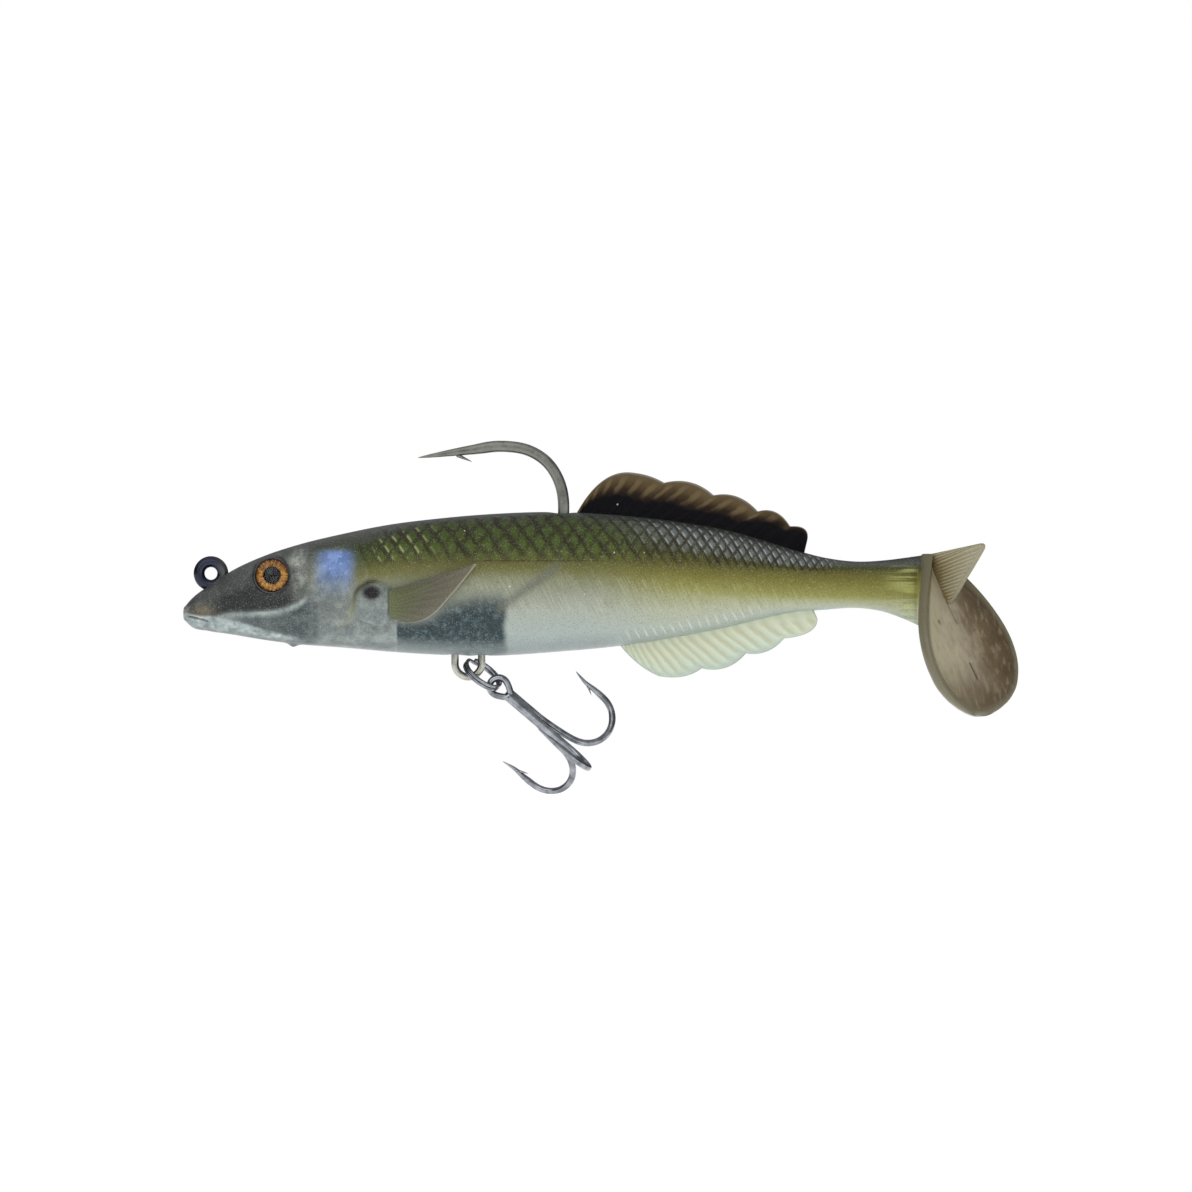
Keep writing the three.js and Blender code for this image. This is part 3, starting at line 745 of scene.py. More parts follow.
MATERIALS = {
    "skin": skin_material(),
    "dorsal": fin_material(
        "dark_fin_plastic",
        [
            (0.0, srgb(3, 2, 6)),
            (0.46, srgb(7, 5, 10)),
            (0.62, srgb(40, 30, 20)),
            (0.8, srgb(78, 64, 42)),
            (1.0, srgb(94, 82, 62)),
        ],
        ray=srgb(124, 108, 78),
        ray_share=0.4,
        alpha=0.97,
        rim=srgb(138, 134, 122),
        count=17.0,
        ray_start=0.5,
    ),
    "anal": fin_material(
        "pale_fin_plastic",
        [
            (0.0, srgb(186, 194, 170)),
            (0.4, srgb(196, 202, 178)),
            (0.8, srgb(192, 204, 186)),
            (1.0, srgb(176, 190, 178)),
        ],
        ray=srgb(164, 158, 122),
        ray_share=0.4,
        alpha=0.93,
        rim=srgb(156, 166, 154),
        count=20.0,
        ray_start=0.1,
    ),
    "pectoral": fin_material(
        "smoke_fin_plastic",
        [
            (0.0, srgb(110, 116, 84)),
            (0.25, srgb(102, 105, 78)),
            (0.6, srgb(100, 98, 82)),
            (1.0, srgb(114, 108, 94)),
        ],
        ray=srgb(124, 125, 118),
        ray_share=0.2,
        alpha=0.66,
        rim=srgb(168, 166, 146),
        count=14.0,
        front_rim=srgb(34, 30, 22),
    ),
    "lobe": fin_material(
        "ribbed_tail_plastic",
        [
            (0.0, srgb(112, 96, 62)),
            (0.35, srgb(130, 118, 86)),
            (0.7, srgb(146, 140, 114)),
            (1.0, srgb(156, 152, 130)),
        ],
        ray=srgb(186, 181, 158),
        ray_share=0.5,
        alpha=0.97,
        rim=srgb(142, 136, 112),
        count=17.0,
        ray_start=0.08,
    ),
    "paddle": paddle_material(),
    "hook": steel_material("hook_steel", srgb(122, 123, 117), srgb(96, 98, 92), 0.3, srgb(50, 52, 64)),
    "treble": steel_material("treble_nickel", srgb(160, 163, 168), srgb(92, 95, 101), 0.14),
    "hanger": steel_material("hanger_wire", srgb(182, 182, 172), srgb(132, 132, 122), 0.26),
    "lead": lead_material(),
    "cup": cup_material(),
    "iris": iris_material(),
    "dome": dome_material(),
}

# ---------------------------------------------------------------- the body's skin

COLUMNS = 208  # points of a body ring
RING_STEP = 0.34  # between body rings
FRONT_CUT = 85.0  # where the front skin meets the rear one
REAR_CUT = 111.5  # where the rear skin meets the tail's

# Heights of the flank's colour borders at places along the body.
BORDER_X = [16, 20, 25.5, 31, 36.3, 43.7, 48.4, 58.5, 68.5, 73.5, 80.2, 90.3, 96.3, 104.9, 114.6]
BACK_Z = [3.2, 4.2, 4.9, 6.5, 8.0, 8.7, 8.9, 9.5, 8.2, 7.7, 6.0, 3.4, 2.1, 1.6, 1.5]
LATERAL_Z = [0.6, 0.8, 1.2, 1.8, 2.0, 2.1, 2.1, 2.1, 2.1, 1.9, 1.4, 0.9, 0.5, 0.2, 0.3]
OLIVE_Z = [-1.8, -1.8, -1.6, -1.3, -1.0, -0.8, -0.7, -0.9, -1.6, -2.1, -2.6, -3.3, -3.7, -3.8, -3.9]
PEARL_Z = [-6, -6.5, -7, -7, -6.8, -6.5, -6.4, -6.1, -6.1, -6.1, -5.9, -5.6, -5.3, -5.2, -5.7]

# The gill cover's rear edge, and the line between the dark cheek and the pale jaw.
GILL_Z = [-10.2, -8.6, -5.3, -2.6, -0.75, 1.0, 3.6]
GILL_X = [20.4, 22.4, 23.9, 25.0, 26.3, 26.4, 25.0]
CHEEK_X = [-5, -1.6, 1.2, 3.2, 8.5, 13.2, 15.6, 17.0]
CHEEK_Z = [-6.4, -6.9, -6.9, -6.5, -6.2, -5.4, -4.1, -2.6]


def body_outline(x):
    return [spline(x, STATIONS[:, 0], STATIONS[:, column]) for column in (1, 2, 3, 4)]


def section_ring(top, bottom, half_width, square, shrink):
    """One ring of (y, z), evenly spaced round the section from its top, by the left flank first."""
    angle = np.linspace(0, 2 * pi, COLUMNS * 4 + 1)
    y = -half_width * shrink * bulge(np.sin(angle), square)
    z = (top + bottom) / 2 + (top - bottom) / 2 * shrink * bulge(np.cos(angle), square)
    return resample(np.stack([y, z], axis=1), COLUMNS + 1)[:-1]


def paddle_share(z):
    return np.clip((z - PADDLE["bottom"]) / (PADDLE["top"] - PADDLE["bottom"]), 0, 1)


def paddle_middle(z):
    """Local x of the paddle's rear face along its middle, at a height."""
    return PADDLE["heel"] - (PADDLE["heel"] - PADDLE["root"]) * paddle_share(z) ** 1.45


def web_top(reach):
    """The height at which the web, this far behind the kick axis, runs into the middle of the disc."""
    share = (PADDLE["heel"] - 1.2 - reach) / (PADDLE["heel"] - PADDLE["root"])
    height = PADDLE["bottom"] + np.clip(share, 0, 1) ** (1 / 1.45) * (PADDLE["top"] - PADDLE["bottom"])
    return np.minimum(WEB_TOP, height)


def web_bottom(reach):
    """The web's lower edge, curving down and back from the stem."""
    return -9.2 - 0.15 * reach - 0.022 * reach**2


def skin_rings():
    """Rings of the skin from the nose to the web in the paddle: points, distance back, top and bottom."""
    nose = [(-4.62, 0.36), (-4.58, 0.66), (-4.48, 0.88)]
    body_x = np.arange(-4.3, PADDLE_X, RING_STEP)
    body_x = np.concatenate([body_x[body_x < FRONT_CUT], [FRONT_CUT], body_x[body_x > FRONT_CUT]])
    body_x = np.concatenate([body_x[body_x < REAR_CUT], [REAR_CUT], body_x[body_x > REAR_CUT]])
    reach = np.arange(0.2, 9.6, RING_STEP)
    rings, lows, highs = [], [], []

    def add(x, y, outline, shrink, turn):
        ring = section_ring(*outline, shrink)
        across = ring[:, 0]
        rings.append(np.stack([x + across * sin(turn), y + across * cos(turn), ring[:, 1]], axis=1))
        highs.append(outline[0])
        lows.append(outline[1])

    for x, shrink in nose:
        add(x, 0, body_outline(-4.3), shrink, 0)
    for x in body_x:
        outline = body_outline(x)
        turn = PADDLE_YAW * 0.5 * ease(x, PADDLE_X - 1.6, PADDLE_X)
        add(x, 0, outline, 1, turn)
    end = body_outline(PADDLE_X)
    for r in reach:
        turn = PADDLE_YAW * (0.5 + 0.5 * ease(r, 0, 1.6))
        half_width = end[2] + (0.95 - end[2]) * ease(r, 0, 1.5)
        outline = [min(end[0], web_top(r)), web_bottom(r), half_width, 2.4]
        add(PADDLE_X + r * cos(PADDLE_YAW), -r * sin(PADDLE_YAW), outline, 1, turn)
    station = np.concatenate([[x for x, _ in nose], body_x, PADDLE_X + reach])
    return np.array(rings), station, np.array(highs), np.array(lows)


def outward(points):
    """The unit normals of a skin of rings, pointing out of it."""
    around = np.roll(points, -1, axis=1) - np.roll(points, 1, axis=1)
    along = np.gradient(points, axis=0)
    normals = unit(np.cross(around, along))
    return normals if normals[len(points) // 2, 0, 2] > 0 else -normals


SCALE_X = [15, 24, 30, 38, 48, 60, 70, 80, 90, 105, 120]
SCALE_PITCH = [1.9, 2.1, 2.4, 2.8, 2.95, 2.7, 2.2, 1.85, 1.6, 1.4, 1.3]
ROW_SHARE = 0.8  # height of half a scale as a share of the pitch

points, station, high, low = skin_rings()
rows = len(points)
normals = outward(points)
x = np.broadcast_to(station[:, None], points.shape[:2])
y, z = points[..., 1], points[..., 2]
flank = np.abs(normals[..., 1])  # 1 where the skin faces sideways
arcs = np.linalg.norm(np.roll(points, -1, axis=1) - points, axis=2)
down = np.cumsum(arcs, axis=1) - arcs
down = np.minimum(down, arcs.sum(1, keepdims=True) - down)  # distance round the skin from the back's middle

# Tone: 0 at the belly line, then the four colour borders, and 1 on the back.
borders = [low - 0.05] + [spline(station, BORDER_X, row) for row in (PEARL_Z, OLIVE_Z, LATERAL_Z, BACK_Z)]
borders = [np.minimum(line, high - 0.25 * (4 - i) - 0.4) for i, line in enumerate(borders)]
borders.append(high + 0.05)
tone = sum(
    0.2 * np.clip((z - start[:, None]) / np.maximum(end - start, 0.05)[:, None], 0, 1)
    for start, end in zip(borders[:-1], borders[1:])
)

# The scale lattice, its pitch shrinking towards the tail.
pitch = spline(station, SCALE_X, SCALE_PITCH)
steps = np.concatenate([[0], np.cumsum(np.diff(station) / ((pitch[1:] + pitch[:-1]) / 2))])
row_number = down / (pitch * ROW_SHARE)[:, None]
rising = steps[:, None] + row_number / 2
falling = steps[:, None] - row_number / 2
gill_x = spline(z, GILL_Z, GILL_X)
behind_gill = ease(x - gill_x, -0.1, 0.5)
scaly = behind_gill * window(tone, 0.56, 0.66, 0.84, 0.99) * ease(x, 108, 99) * ease(x, 24.5, 30)
domed = (1 - np.abs(2 * (rising % 1) - 1) ** 3) * (1 - np.abs(2 * (falling % 1) - 1) ** 3)
tilted = (rising % 1) + (falling % 1) - 1

# Masks, 0 to 1. First the head: its dark cheek, pale jaw, the pale patches behind the eye, which are painted
# highlight, and the pale patch at the nose.
above_low = z - low[:, None]
cheek_z = spline(np.minimum(x, 16.2), CHEEK_X, CHEEK_Z)
head = ease(x, 18.2, 15.8)
jaw_line = ridge(cheek_z - z - 0.45, 0.42) * window(x, 2.5, 6, 14.5, 16.6)
pale_low = ease(z - spline(x, [-5, 0, 5, 9, 13, 17], [-6.8, -7.2, -8.3, -9.5, -10.5, -11.2]), 0.5, -0.3)
pale_low *= ease(above_low, 0.05, 0.9) * ease(x, 17.0, 11.0)
slate_jaw = window(x, 2.0, 9.0, 15.5, 20.5) * ease(z, -1.5, -5.5) * ease(cheek_z - z, 0.6, 1.6)
jaw = ease(cheek_z - z, -0.15, 0.45) * ease(x, 18.4, 16.0)
cheek = ease(z - cheek_z, 0.0, 0.6) * ease(z - 0.36 * x, -3.2, -5.4)
cheek *= ease(x, 16.6, 12.8) * ease(x, -0.4, 2.4)
cheek = np.maximum(cheek, 0.75 * spot(x, z, (5.5, -3.2), (3.4, 1.6)))
eye_far = np.hypot(x - EYE["x"], z - EYE["z"])
# Painted highlight behind the eye, and a lighter patch low on the nose.
eye_highlight_and_nose_patch = np.maximum(spot(x, z, (14.7, 2.0), (1.4, 1.7)), 0.6 * spot(x, z, (15.2, -0.8), (1.5, 3.2)))
eye_highlight_and_nose_patch += 0.65 * ease(x, -2.8, -4.6) * ease(z, -5.0, -6.0)

# The pearl patch behind the head, and the throat.
blue = 0.95 * window(x, 17.0, 19.2, 22.6, 25.0) * ease(z, 4.3, 3.2) * ease(z, -4.8, 0.2)
blue *= 0.55 + 0.45 * spot(x, z, (21.8, 2.2), (2.8, 2.4))
throat = ease(x, 15.8, 18.0) * ease(gill_x - x, -0.2, 0.5)

# The lead slug and the hook's shank, which show through the plastic.
slug_top = spline(x, [30, 36, 40, 44, 50], [-7.4, -7.2, -5.6, -4.6, -4.6])
slug = ease(slug_top - z, -1.0, 2.0) * (0.4 + 0.6 * ease(above_low, 0.3, 3.2))
slug += 0.65 * ease(slug_top - z, -2.6, 0.6) * ease(x, 36, 40) * (1 - ease(slug_top - z, -1.0, 2.0))
slug_end = 49.4 + 0.16 * np.sin(0.9 * z + 0.4) + 0.1 * np.sin(2.3 * z)
slug *= ease(x, 30.9, 31.4) * ease(x, slug_end + 0.6, slug_end - 0.6)
shank_away = np.abs((z - SHANK["z"]) - (x - SHANK["x"]) * SHANK["slope"]) / SHANK["slant"]
shank = ridge(shank_away, 0.85) * window(x, 47.2, 48.6, 57.2, 59.4)

# The gill cover's edge, the lateral line, and the shoulder with its dark spot, painted shade along its
# crease, and its milky face.
gill_line = ridge(x - gill_x, 0.34) * window(z, -10.0, -8.4, -1.2, 1.2)
lateral_line = 0.7 * window(x, 43.5, 46, 60, 67) * np.ones_like(z)
shoulder = np.hypot((x - SHOULDER["x"]) / SHOULDER["reach"][0], (z - SHOULDER["z"]) / SHOULDER["reach"][2])
spot_and_crease_shade = ease(spot(x, z, (27.0, -3.2), (1.75, 1.35)), 0.2, 0.75)
spot_and_crease_shade *= 0.75 + 0.25 * spot(x, z, (27.5, -3.4), (1, 1))
# Painted shade: a dark crescent along the crease round the shoulder's front and top.
spot_and_crease_shade += 0.6 * ridge(shoulder - 0.98, 0.1) * ease(z - 0.9 * (x - 28), -3.6, -1.8) * ease(x, 29, 27)
spot_and_crease_shade = np.clip(1.25 * spot_and_crease_shade, 0, 1) * ease(x, 32.0, 30.5) * ease(x, 23.6, 24.6)
milk = ease(1.0 - shoulder, -0.06, 0.3) * ease(x, 31.6, 30.2)

# Fine marks on the flank and the stem, the mouth, painted dark as shade in its slit, and the scales' silver
# and painted highlights.
ticks = window(x, 67, 72, 89, 94) * window(above_low, 0.6, 1.3, 1.6, 3.2)
streaks = ease(tone, 0.52, 0.42) * ease(tone, 0.1, 0.26) * window(x, 40, 46, 97, 106)
stem_rays = window(x, 111.5, 116.5, 118.0, 119.2) * ease(tone, 0.8, 0.7)
# The mouth's moulded slit, which is also painted dark as shade.
mouth_z = spline(x, [-5, -3.4, -1.6, 0.2], [-7.1, -7.3, -7.75, -8.3])
mouth = ridge(z - mouth_z, 0.16) * window(x, -4.6, -3.6, -0.9, 0.0)
# Where the rear scales get a silvery fill and painted highlights on their rims, and where the front scales
# get pale painted rim highlights.
silver_and_highlight = window(x, 66, 80, 101, 108) * window(tone, 0.66, 0.76, 0.93, 1.0)
front_rim_highlights = 0.36 * window(x, 26.5, 29, 34, 39) * window(tone, 0.6, 0.66, 0.78, 0.84)

# Moulded relief, in millimetres along the skin's normal.
side_share = ease(flank, 0.3, 0.75)
coarse = (pitch / 2.8)[:, None]
relief = 0.085 * coarse * scaly * (1.3 * domed + 0.5 * tilted)
relief += 0.1 * silver_and_highlight * scaly * domed * coarse
# The step behind the gill cover and its raised edge, the fold under the cheek, the mouth and the neck.
relief -= 0.32 * behind_gill * ease(x, 31, 25) * ease(z, -11, -8) * side_share
relief += 0.1 * gill_line * side_share
relief -= 0.16 * ease(cheek_z - z, -0.1, 0.35) * ease(cheek_z - z, 2.6, 0.4) * ease(x, 17.2, 15) * side_share
relief -= 0.3 * mouth
relief -= 0.1 * ridge(x - 16.9, 0.3) * side_share * ease(z, 4.4, 3.2) * ease(z, -5, -3)
# The bump under the chin, and the dents where the hook and the hanger's legs come out.
relief += 0.55 * spot(x, y, (13.8, 0), (0.8, 1.2)) * ease(z, -9, -10.5)
relief -= 0.35 * spot(x, y, (58.7, 0), (1.4, 1.4)) * ease(z, 7, 9)
for leg in (-1, 1):
    leg_x = HANGER["x"] + leg * HANGER["bend"]
    relief -= 0.3 * spot(x, y, (leg_x, 0), (0.95, 0.95)) * ease(z, -10, -12)
# The swollen lid round the eye.
relief += 0.28 * ridge(eye_far - 3.35, 0.4) * side_share
points = points + normals * relief[..., None]

# The shoulder that each pectoral fin grows from, and the eye sockets.
inside = np.clip(1 - shoulder**2, 0, None) * (x < 40)
lump = SHOULDER["y"] + SHOULDER["reach"][1] * np.sqrt(inside)
lump = np.where(x > SHOULDER["x"], SHOULDER["y"] + (lump - SHOULDER["y"]) * ease(x, 31.4, 29.6), lump)
reach_y = np.abs(points[..., 1])
lifted = np.where(inside > 0, np.maximum(lump, reach_y), reach_y)
lifted = reach_y + (lifted - reach_y) * side_share
crease = 0.16 * ridge(shoulder - 1.04, 0.1) * ease(x, 29, 26) * side_share
socket = 1.5 * ease(eye_far, EYE["radius"] - 0.1, EYE["radius"] - 0.55) * side_share
points[..., 1] = np.sign(points[..., 1]) * (lifted - crease - socket)
normals = outward(points)

grey_throat = 0.85 * throat * ease(tone, 0.86, 0.7) * (1 - 0.85 * ease(x, 22.0, 24.5) * ease(z, -6, -3))
lower_throat = 0.85 * ease(z, -5.5, -8.5) * ease(x, 31.4, 30.8) * ease(x, 15.8, 18.0)
grey_throat = np.maximum(grey_throat, lower_throat)


def layer_of(*numbers):
    """Three numbers at each point, as one vector layer."""
    return np.stack(numbers, axis=-1)


# What the skin's material reads at each point.
SKIN_LAYERS = {
    "place": layer_of(x, points[..., 1], z),
    "tone": tone,
    "bands": layer_of(ease(x, 60, 82), lateral_line, streaks),
    "lattice": layer_of(rising, falling, scaly),
    "sheen": layer_of(silver_and_highlight, front_rim_highlights, ticks),
    "inside": layer_of(slug * 0.96, shank, gill_line * 0.6),
    "stem": stem_rays,
    "face": layer_of(head, np.clip(jaw + 0.86 * milk + grey_throat, 0, 1), blue),
    "jawline": layer_of(np.clip(pale_low + 0.75 * jaw_line + 0.16 * milk, 0, 1), slate_jaw, eye_highlight_and_nose_patch),
    # Third: the shoulder's dark spot, with painted shade along its crease and in the mouth's slit.
    "cheeks": layer_of(cheek, spot(x, z, (-1.2, -6.2), (1.6, 0.9)), np.clip(spot_and_crease_shade + 0.7 * mouth, 0, 1)),
}


def skin_piece(name, first, last):
    """The skin's rings from one to another as a closed piece, shaded as part of the whole skin."""
    count = last - first + 1
    shell = capped(points[first : last + 1])
    ring_normals = normals[first : last + 1].reshape(-1, 3)
    layers = {}
    for key, values in SKIN_LAYERS.items():
        part = values[first : last + 1].reshape(count * COLUMNS, -1)
        part = np.concatenate([part, part[:1], part[-1:]])
        layers[key] = part if part.shape[1] == 3 else part[:, 0]
    made = make_piece(name, shell, MATERIALS["skin"], layers, weld=False)
    # Its two ends are capped by fans, which face along x.
    mesh = made.data
    corners = np.empty(len(mesh.loops), np.int32)
    mesh.loops.foreach_get("vertex_index", corners)
    ends = np.array([[-1.0, 0, 0], [1.0, 0, 0]])
    all_normals = np.concatenate([ring_normals, ends])
    loop_normals = all_normals[corners]
    quads = count * COLUMNS - COLUMNS
    is_cap = np.arange(len(corners)) >= quads * 4
    pole = np.repeat(corners[is_cap].reshape(-1, 3).max(1) - count * COLUMNS, 3)
    loop_normals[is_cap] = ends[pole]
    mesh.normals_split_custom_set(loop_normals.tolist())
    return made


cut_front = int(np.argmin(np.abs(station - FRONT_CUT)))
cut_rear = int(np.argmin(np.abs(station - REAR_CUT)))

skin_front = skin_piece("soft_skin_front", 0, cut_front)
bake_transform(skin_front)
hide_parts("soft_body_front")

skin_rear = skin_piece("soft_skin_rear", cut_front, cut_rear)
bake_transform(skin_rear)
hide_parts("soft_body_rear")

skin_tail = skin_piece("soft_skin_tail", cut_rear, rows - 1)
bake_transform(skin_tail)
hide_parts("tail_stem")

# ---------------------------------------------------------------- fins


def fin_shell(root, edge, thick_root, thick_rim, count, depth, curl=0.0):
    """A thin blade between a root line and a free edge, both in (u, v) with the same number of points.

    Its rays run from the root to the edge. Returns rings of (u, side, v), and where each point lies as
    (along, out).
    """
    outs = np.concatenate([np.linspace(0, 0.9, 26), [0.93, 0.955, 0.975, 0.99, 1.0]])
    s = np.linspace(0, 1, len(root))[:, None]
    t = outs[None, :]
    blade = root[:, None, :] + (edge - root)[:, None, :] * outs[None, :, None]
    half = (thick_root + (thick_rim - thick_root) * t**0.8) / 2
    half = half + depth * np.sin(2 * pi * count * s) * window(t, 0.0, 0.15, 0.85, 1.0)
    half = half + 0.07 * ridge(t - 0.955, 0.02)
    half = half * np.sqrt(np.clip(1 - (np.clip(t - 0.955, 0, 1) / 0.0455) ** 2, 0, 1))
    half = half * np.sqrt(np.clip(1 - (1 - np.minimum(s, 1 - s) / 0.012).clip(0, 1) ** 2, 0.02, 1))
    bow = curl * t**2
    left = np.stack([blade[..., 0], bow - half, blade[..., 1]], axis=-1)
    right = np.stack([blade[..., 0], bow + half, blade[..., 1]], axis=-1)
    rings = np.concatenate([left, right[:, ::-1]], axis=1)
    along = np.broadcast_to(s, half.shape)
    out = np.broadcast_to(t, half.shape)
    layer = np.stack([along, out, 0 * along], axis=-1)
    return rings, np.concatenate([layer, layer[:, ::-1]], axis=1)


def fin_piece(name, rings, layer, material):
    flat_layer = layer.reshape(-1, 3)
    flat_layer = np.concatenate([flat_layer, flat_layer[:1], flat_layer[-1:]])
    return make_piece(name, capped(rings), MATERIALS[material], {"fin": flat_layer})


def back_fin(name, front, lobes, root_x, column, sink, count, material):
    """The long fin on the back or the belly, its rays leaning back."""
    edge = lobed_edge(front, lobes, 260)
    s = np.linspace(0, 1, len(edge))
    x_root = root_x[0] + (root_x[1] - root_x[0]) * s**1.75
    root = np.stack([x_root, spline(x_root, STATIONS[:, 0], STATIONS[:, column]) + sink], axis=1)
    rings, layer = fin_shell(root, edge, 1.7, 0.62, count, 0.05)
    return fin_piece(name, rings, layer, material)


dorsal = back_fin("dorsal_fin_blade", (61.3, 10.2), DORSAL_LOBES, (61.7, 99.2), TOP, -0.9, 17, "dorsal")
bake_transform(dorsal)
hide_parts("dorsal_fin")

anal = back_fin("anal_fin_blade", (68.4, -11.9), ANAL_LOBES, (68.8, 100.6), BOTTOM, 0.9, 20, "anal")
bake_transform(anal)
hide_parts("anal_fin")


def pectoral_fin(word, side):
    """A rounded, slightly cupped blade that grows out of the shoulder and points back and up."""
    edge = lobed_edge((-0.2, -2.7), PECTORAL_CURVES, 240)
    s = np.linspace(0, 1, len(edge))
    root = np.stack([np.full(len(s), -0.4), -2.8 - 4.2 * s], axis=1)
    rings, layer = fin_shell(root, edge, 0.85, 0.5, 14, 0.02, curl=-0.35)
    turn = side * PECTORAL["flare"]
    u, v = rings[..., 0], rings[..., 1] * side
    rings = np.stack(
        [
            PECTORAL["x"] + u * cos(turn) - v * sin(turn),
            side * PECTORAL["y"] + u * sin(turn) + v * cos(turn),
            rings[..., 2],
        ],
        axis=-1,
    )
    blade = fin_piece("pectoral_blade_" + word, rings, layer, "pectoral")
    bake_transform(blade)
    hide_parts("pectoral_fin_" + word)


pectoral_fin("left", -1)
pectoral_fin("right", 1)

# ---------------------------------------------------------------- paddle tail


def from_paddle(local):
    """Points of the paddle's own turned frame, in the lure's frame."""
    u, v, w = local[..., 0], local[..., 1], local[..., 2]
    return np.stack(
        [
            PADDLE_X + u * cos(PADDLE_YAW) + v * sin(PADDLE_YAW),
            -u * sin(PADDLE_YAW) + v * cos(PADDLE_YAW),
            w,
        ],
        axis=-1,
    )


def segment_mark(v, w, start, end, width):
    """1 along a short line drawn on the paddle's face."""
    start, end = np.array(start), np.array(end)
    way = end - start
    t = np.clip(((v - start[0]) * way[0] + (w - start[1]) * way[1]) / (way @ way), 0, 1)
    away = np.hypot(v - start[0] - t * way[0], w - start[1] - t * way[1])
    return np.exp(-((away / width) ** 2))


def paddle_disc():
    """The cupped disc: rings from the middle of its rear face, round its rim, to that of its front."""
    height = np.linspace(PADDLE["bottom"], PADDLE["top"], 300)
    width = spline(height, PADDLE_HEIGHTS, PADDLE_WIDTHS)
    rise = np.clip((height - PADDLE_HEIGHTS[0]) / (PADDLE_HEIGHTS[1] - PADDLE_HEIGHTS[0]), 0, 1)
    width = np.where(rise < 1, PADDLE_WIDTHS[1] * np.sqrt(rise), width)
    right = np.stack([width, height], axis=1)
    outline = np.concatenate([[(0, PADDLE["bottom"])], right, [(0, PADDLE["top"])], right[::-1] * (-1, 1)])
    outline = resample(np.concatenate([outline, outline[:1]]), 241)[:-1]
    hub = np.array([0.0, -12.5])
    inset = 0.91  # share of the way out at which the flat face turns into the rim
    thick = PADDLE["thick"]
    rings, layers, marks = [], [], []

    def add(share_out, drop, rim):
        flat_ring = hub + (outline - hub) * share_out
        v, w = flat_ring[:, 0], flat_ring[:, 1]
        across = np.clip(v / np.maximum(spline(w, PADDLE_HEIGHTS, PADDLE_WIDTHS), 0.5), -1, 1)
        rear = paddle_middle(w) + (PADDLE["brim"] + PADDLE["cup"] * paddle_share(w)) * across**2
        mark = np.zeros(len(v))
        if drop < 0.01:
            mark = segment_mark(v, w, (0.2, -15.0), (1.0, -17.6), 0.2)
            mark += segment_mark(v, w, (-4.3, -8.1), (-4.25, -8.0), 0.3)
            mark += 0.7 * segment_mark(v, w, (-0.4, -4.9), (0.1, -8.3), 0.16)
            # A dark line in the groove inside the lower rim: painted shadow.
            mark += 0.55 * ridge(share_out - 0.885, 0.014) * ease(w, -23, -19)
        mark = np.clip(mark, 0, 1)
        dish = 0.18 * ease(share_out, 0.9, 0.8) if drop < 0.01 else 0.0
        rings.append(np.stack([rear - drop - dish - 0.35 * mark, v, w], axis=1))
        layers.append(np.stack([across, paddle_share(w), np.full(len(v), rim)], axis=1))
        marks.append(0.8 * mark)

    for share_out in np.linspace(0.01, inset, 56):
        add(share_out, 0.0, float(0.5 * ease(share_out, 0.84, 0.9)))
    for angle in np.linspace(90, -90, 17)[1:-1]:
        out, up = cos(radians(angle)), sin(radians(angle))
        add(inset + (1 - inset) * out**0.8, thick / 2 * (1 - up), 1.0)
    for share_out in np.linspace(inset, 0.01, 40):
        add(share_out, thick, float(0.4 * ease(share_out, 0.84, 0.9)))
    points_of, faces = capped(from_paddle(np.array(rings)))
    layer = np.concatenate(layers)
    mark = np.concatenate(marks)
    layer = np.concatenate([layer, layer[:1], layer[-1:]])
    mark = np.concatenate([mark, mark[:1], mark[-1:]])
    disc = make_piece("paddle_disc", (points_of, faces), MATERIALS["paddle"], {"disc": layer, "marks": mark})
    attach(disc, "paddle")
    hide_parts("paddle_tail")


paddle_disc()


def caudal_lobe():
    """The small upright tail fin on the paddle's rear face, with near-level rays."""
    count = 200
    root_z = np.linspace(3.1, -5.2, count)
    root = np.stack([paddle_middle(root_z) - 0.9, root_z], axis=1)
    edge = lobed_edge((paddle_middle(3.1) + 0.4, 3.2), CAUDAL_CURVES, count)
    s = np.linspace(0, 1, count)
    # Most rays reach the trailing edge: the edge's points are taken closer together there.
    reach = np.interp(s, [0, 0.14, 1], [0, 0.42, 1]) * (count - 1)
    edge = np.stack([np.interp(reach, np.arange(count), edge[:, i]) for i in (0, 1)], axis=1)
    rings, layer = fin_shell(root, edge, 1.5, 0.7, 17, 0.03)
    lobe = fin_piece("caudal_lobe_blade", from_paddle(rings), layer, "lobe")
    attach(lobe, "paddle")
    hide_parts("caudal_lobe")


caudal_lobe()

# ---------------------------------------------------------------- hooks, hanger and split ring


def flat_line(points_xz, count):
    """A smooth line in the lure's middle plane."""
    return smooth_line([(px, 0, pz) for px, pz in points_xz], count)


def barb_shell(base, tip, root, width, turn=None):
    """A thin cut spur from a wire: its base line in (x, z) and its free tip, thinner towards the tip."""
    base, tip = np.asarray(base, float), np.asarray(tip, float)
    rings = []
    for t in np.linspace(0, 1, 7):
        middle = base + (tip - base) * t
        size = (1 - t) ** 0.8 + 0.04
        lift = root * size
        way = unit(tip - base)
        normal = np.array([-way[1], way[0]])
        ring = []
        for angle in np.linspace(0, 2 * pi, 12, endpoint=False):
            offset = normal * cos(angle) * lift
            ring.append([middle[0] + offset[0], sin(angle) * width * size, middle[1] + offset[1]])
        rings.append(ring)
    points_of, faces = capped(np.array(rings))
    return (points_of if turn is None else points_of @ turn.T), faces


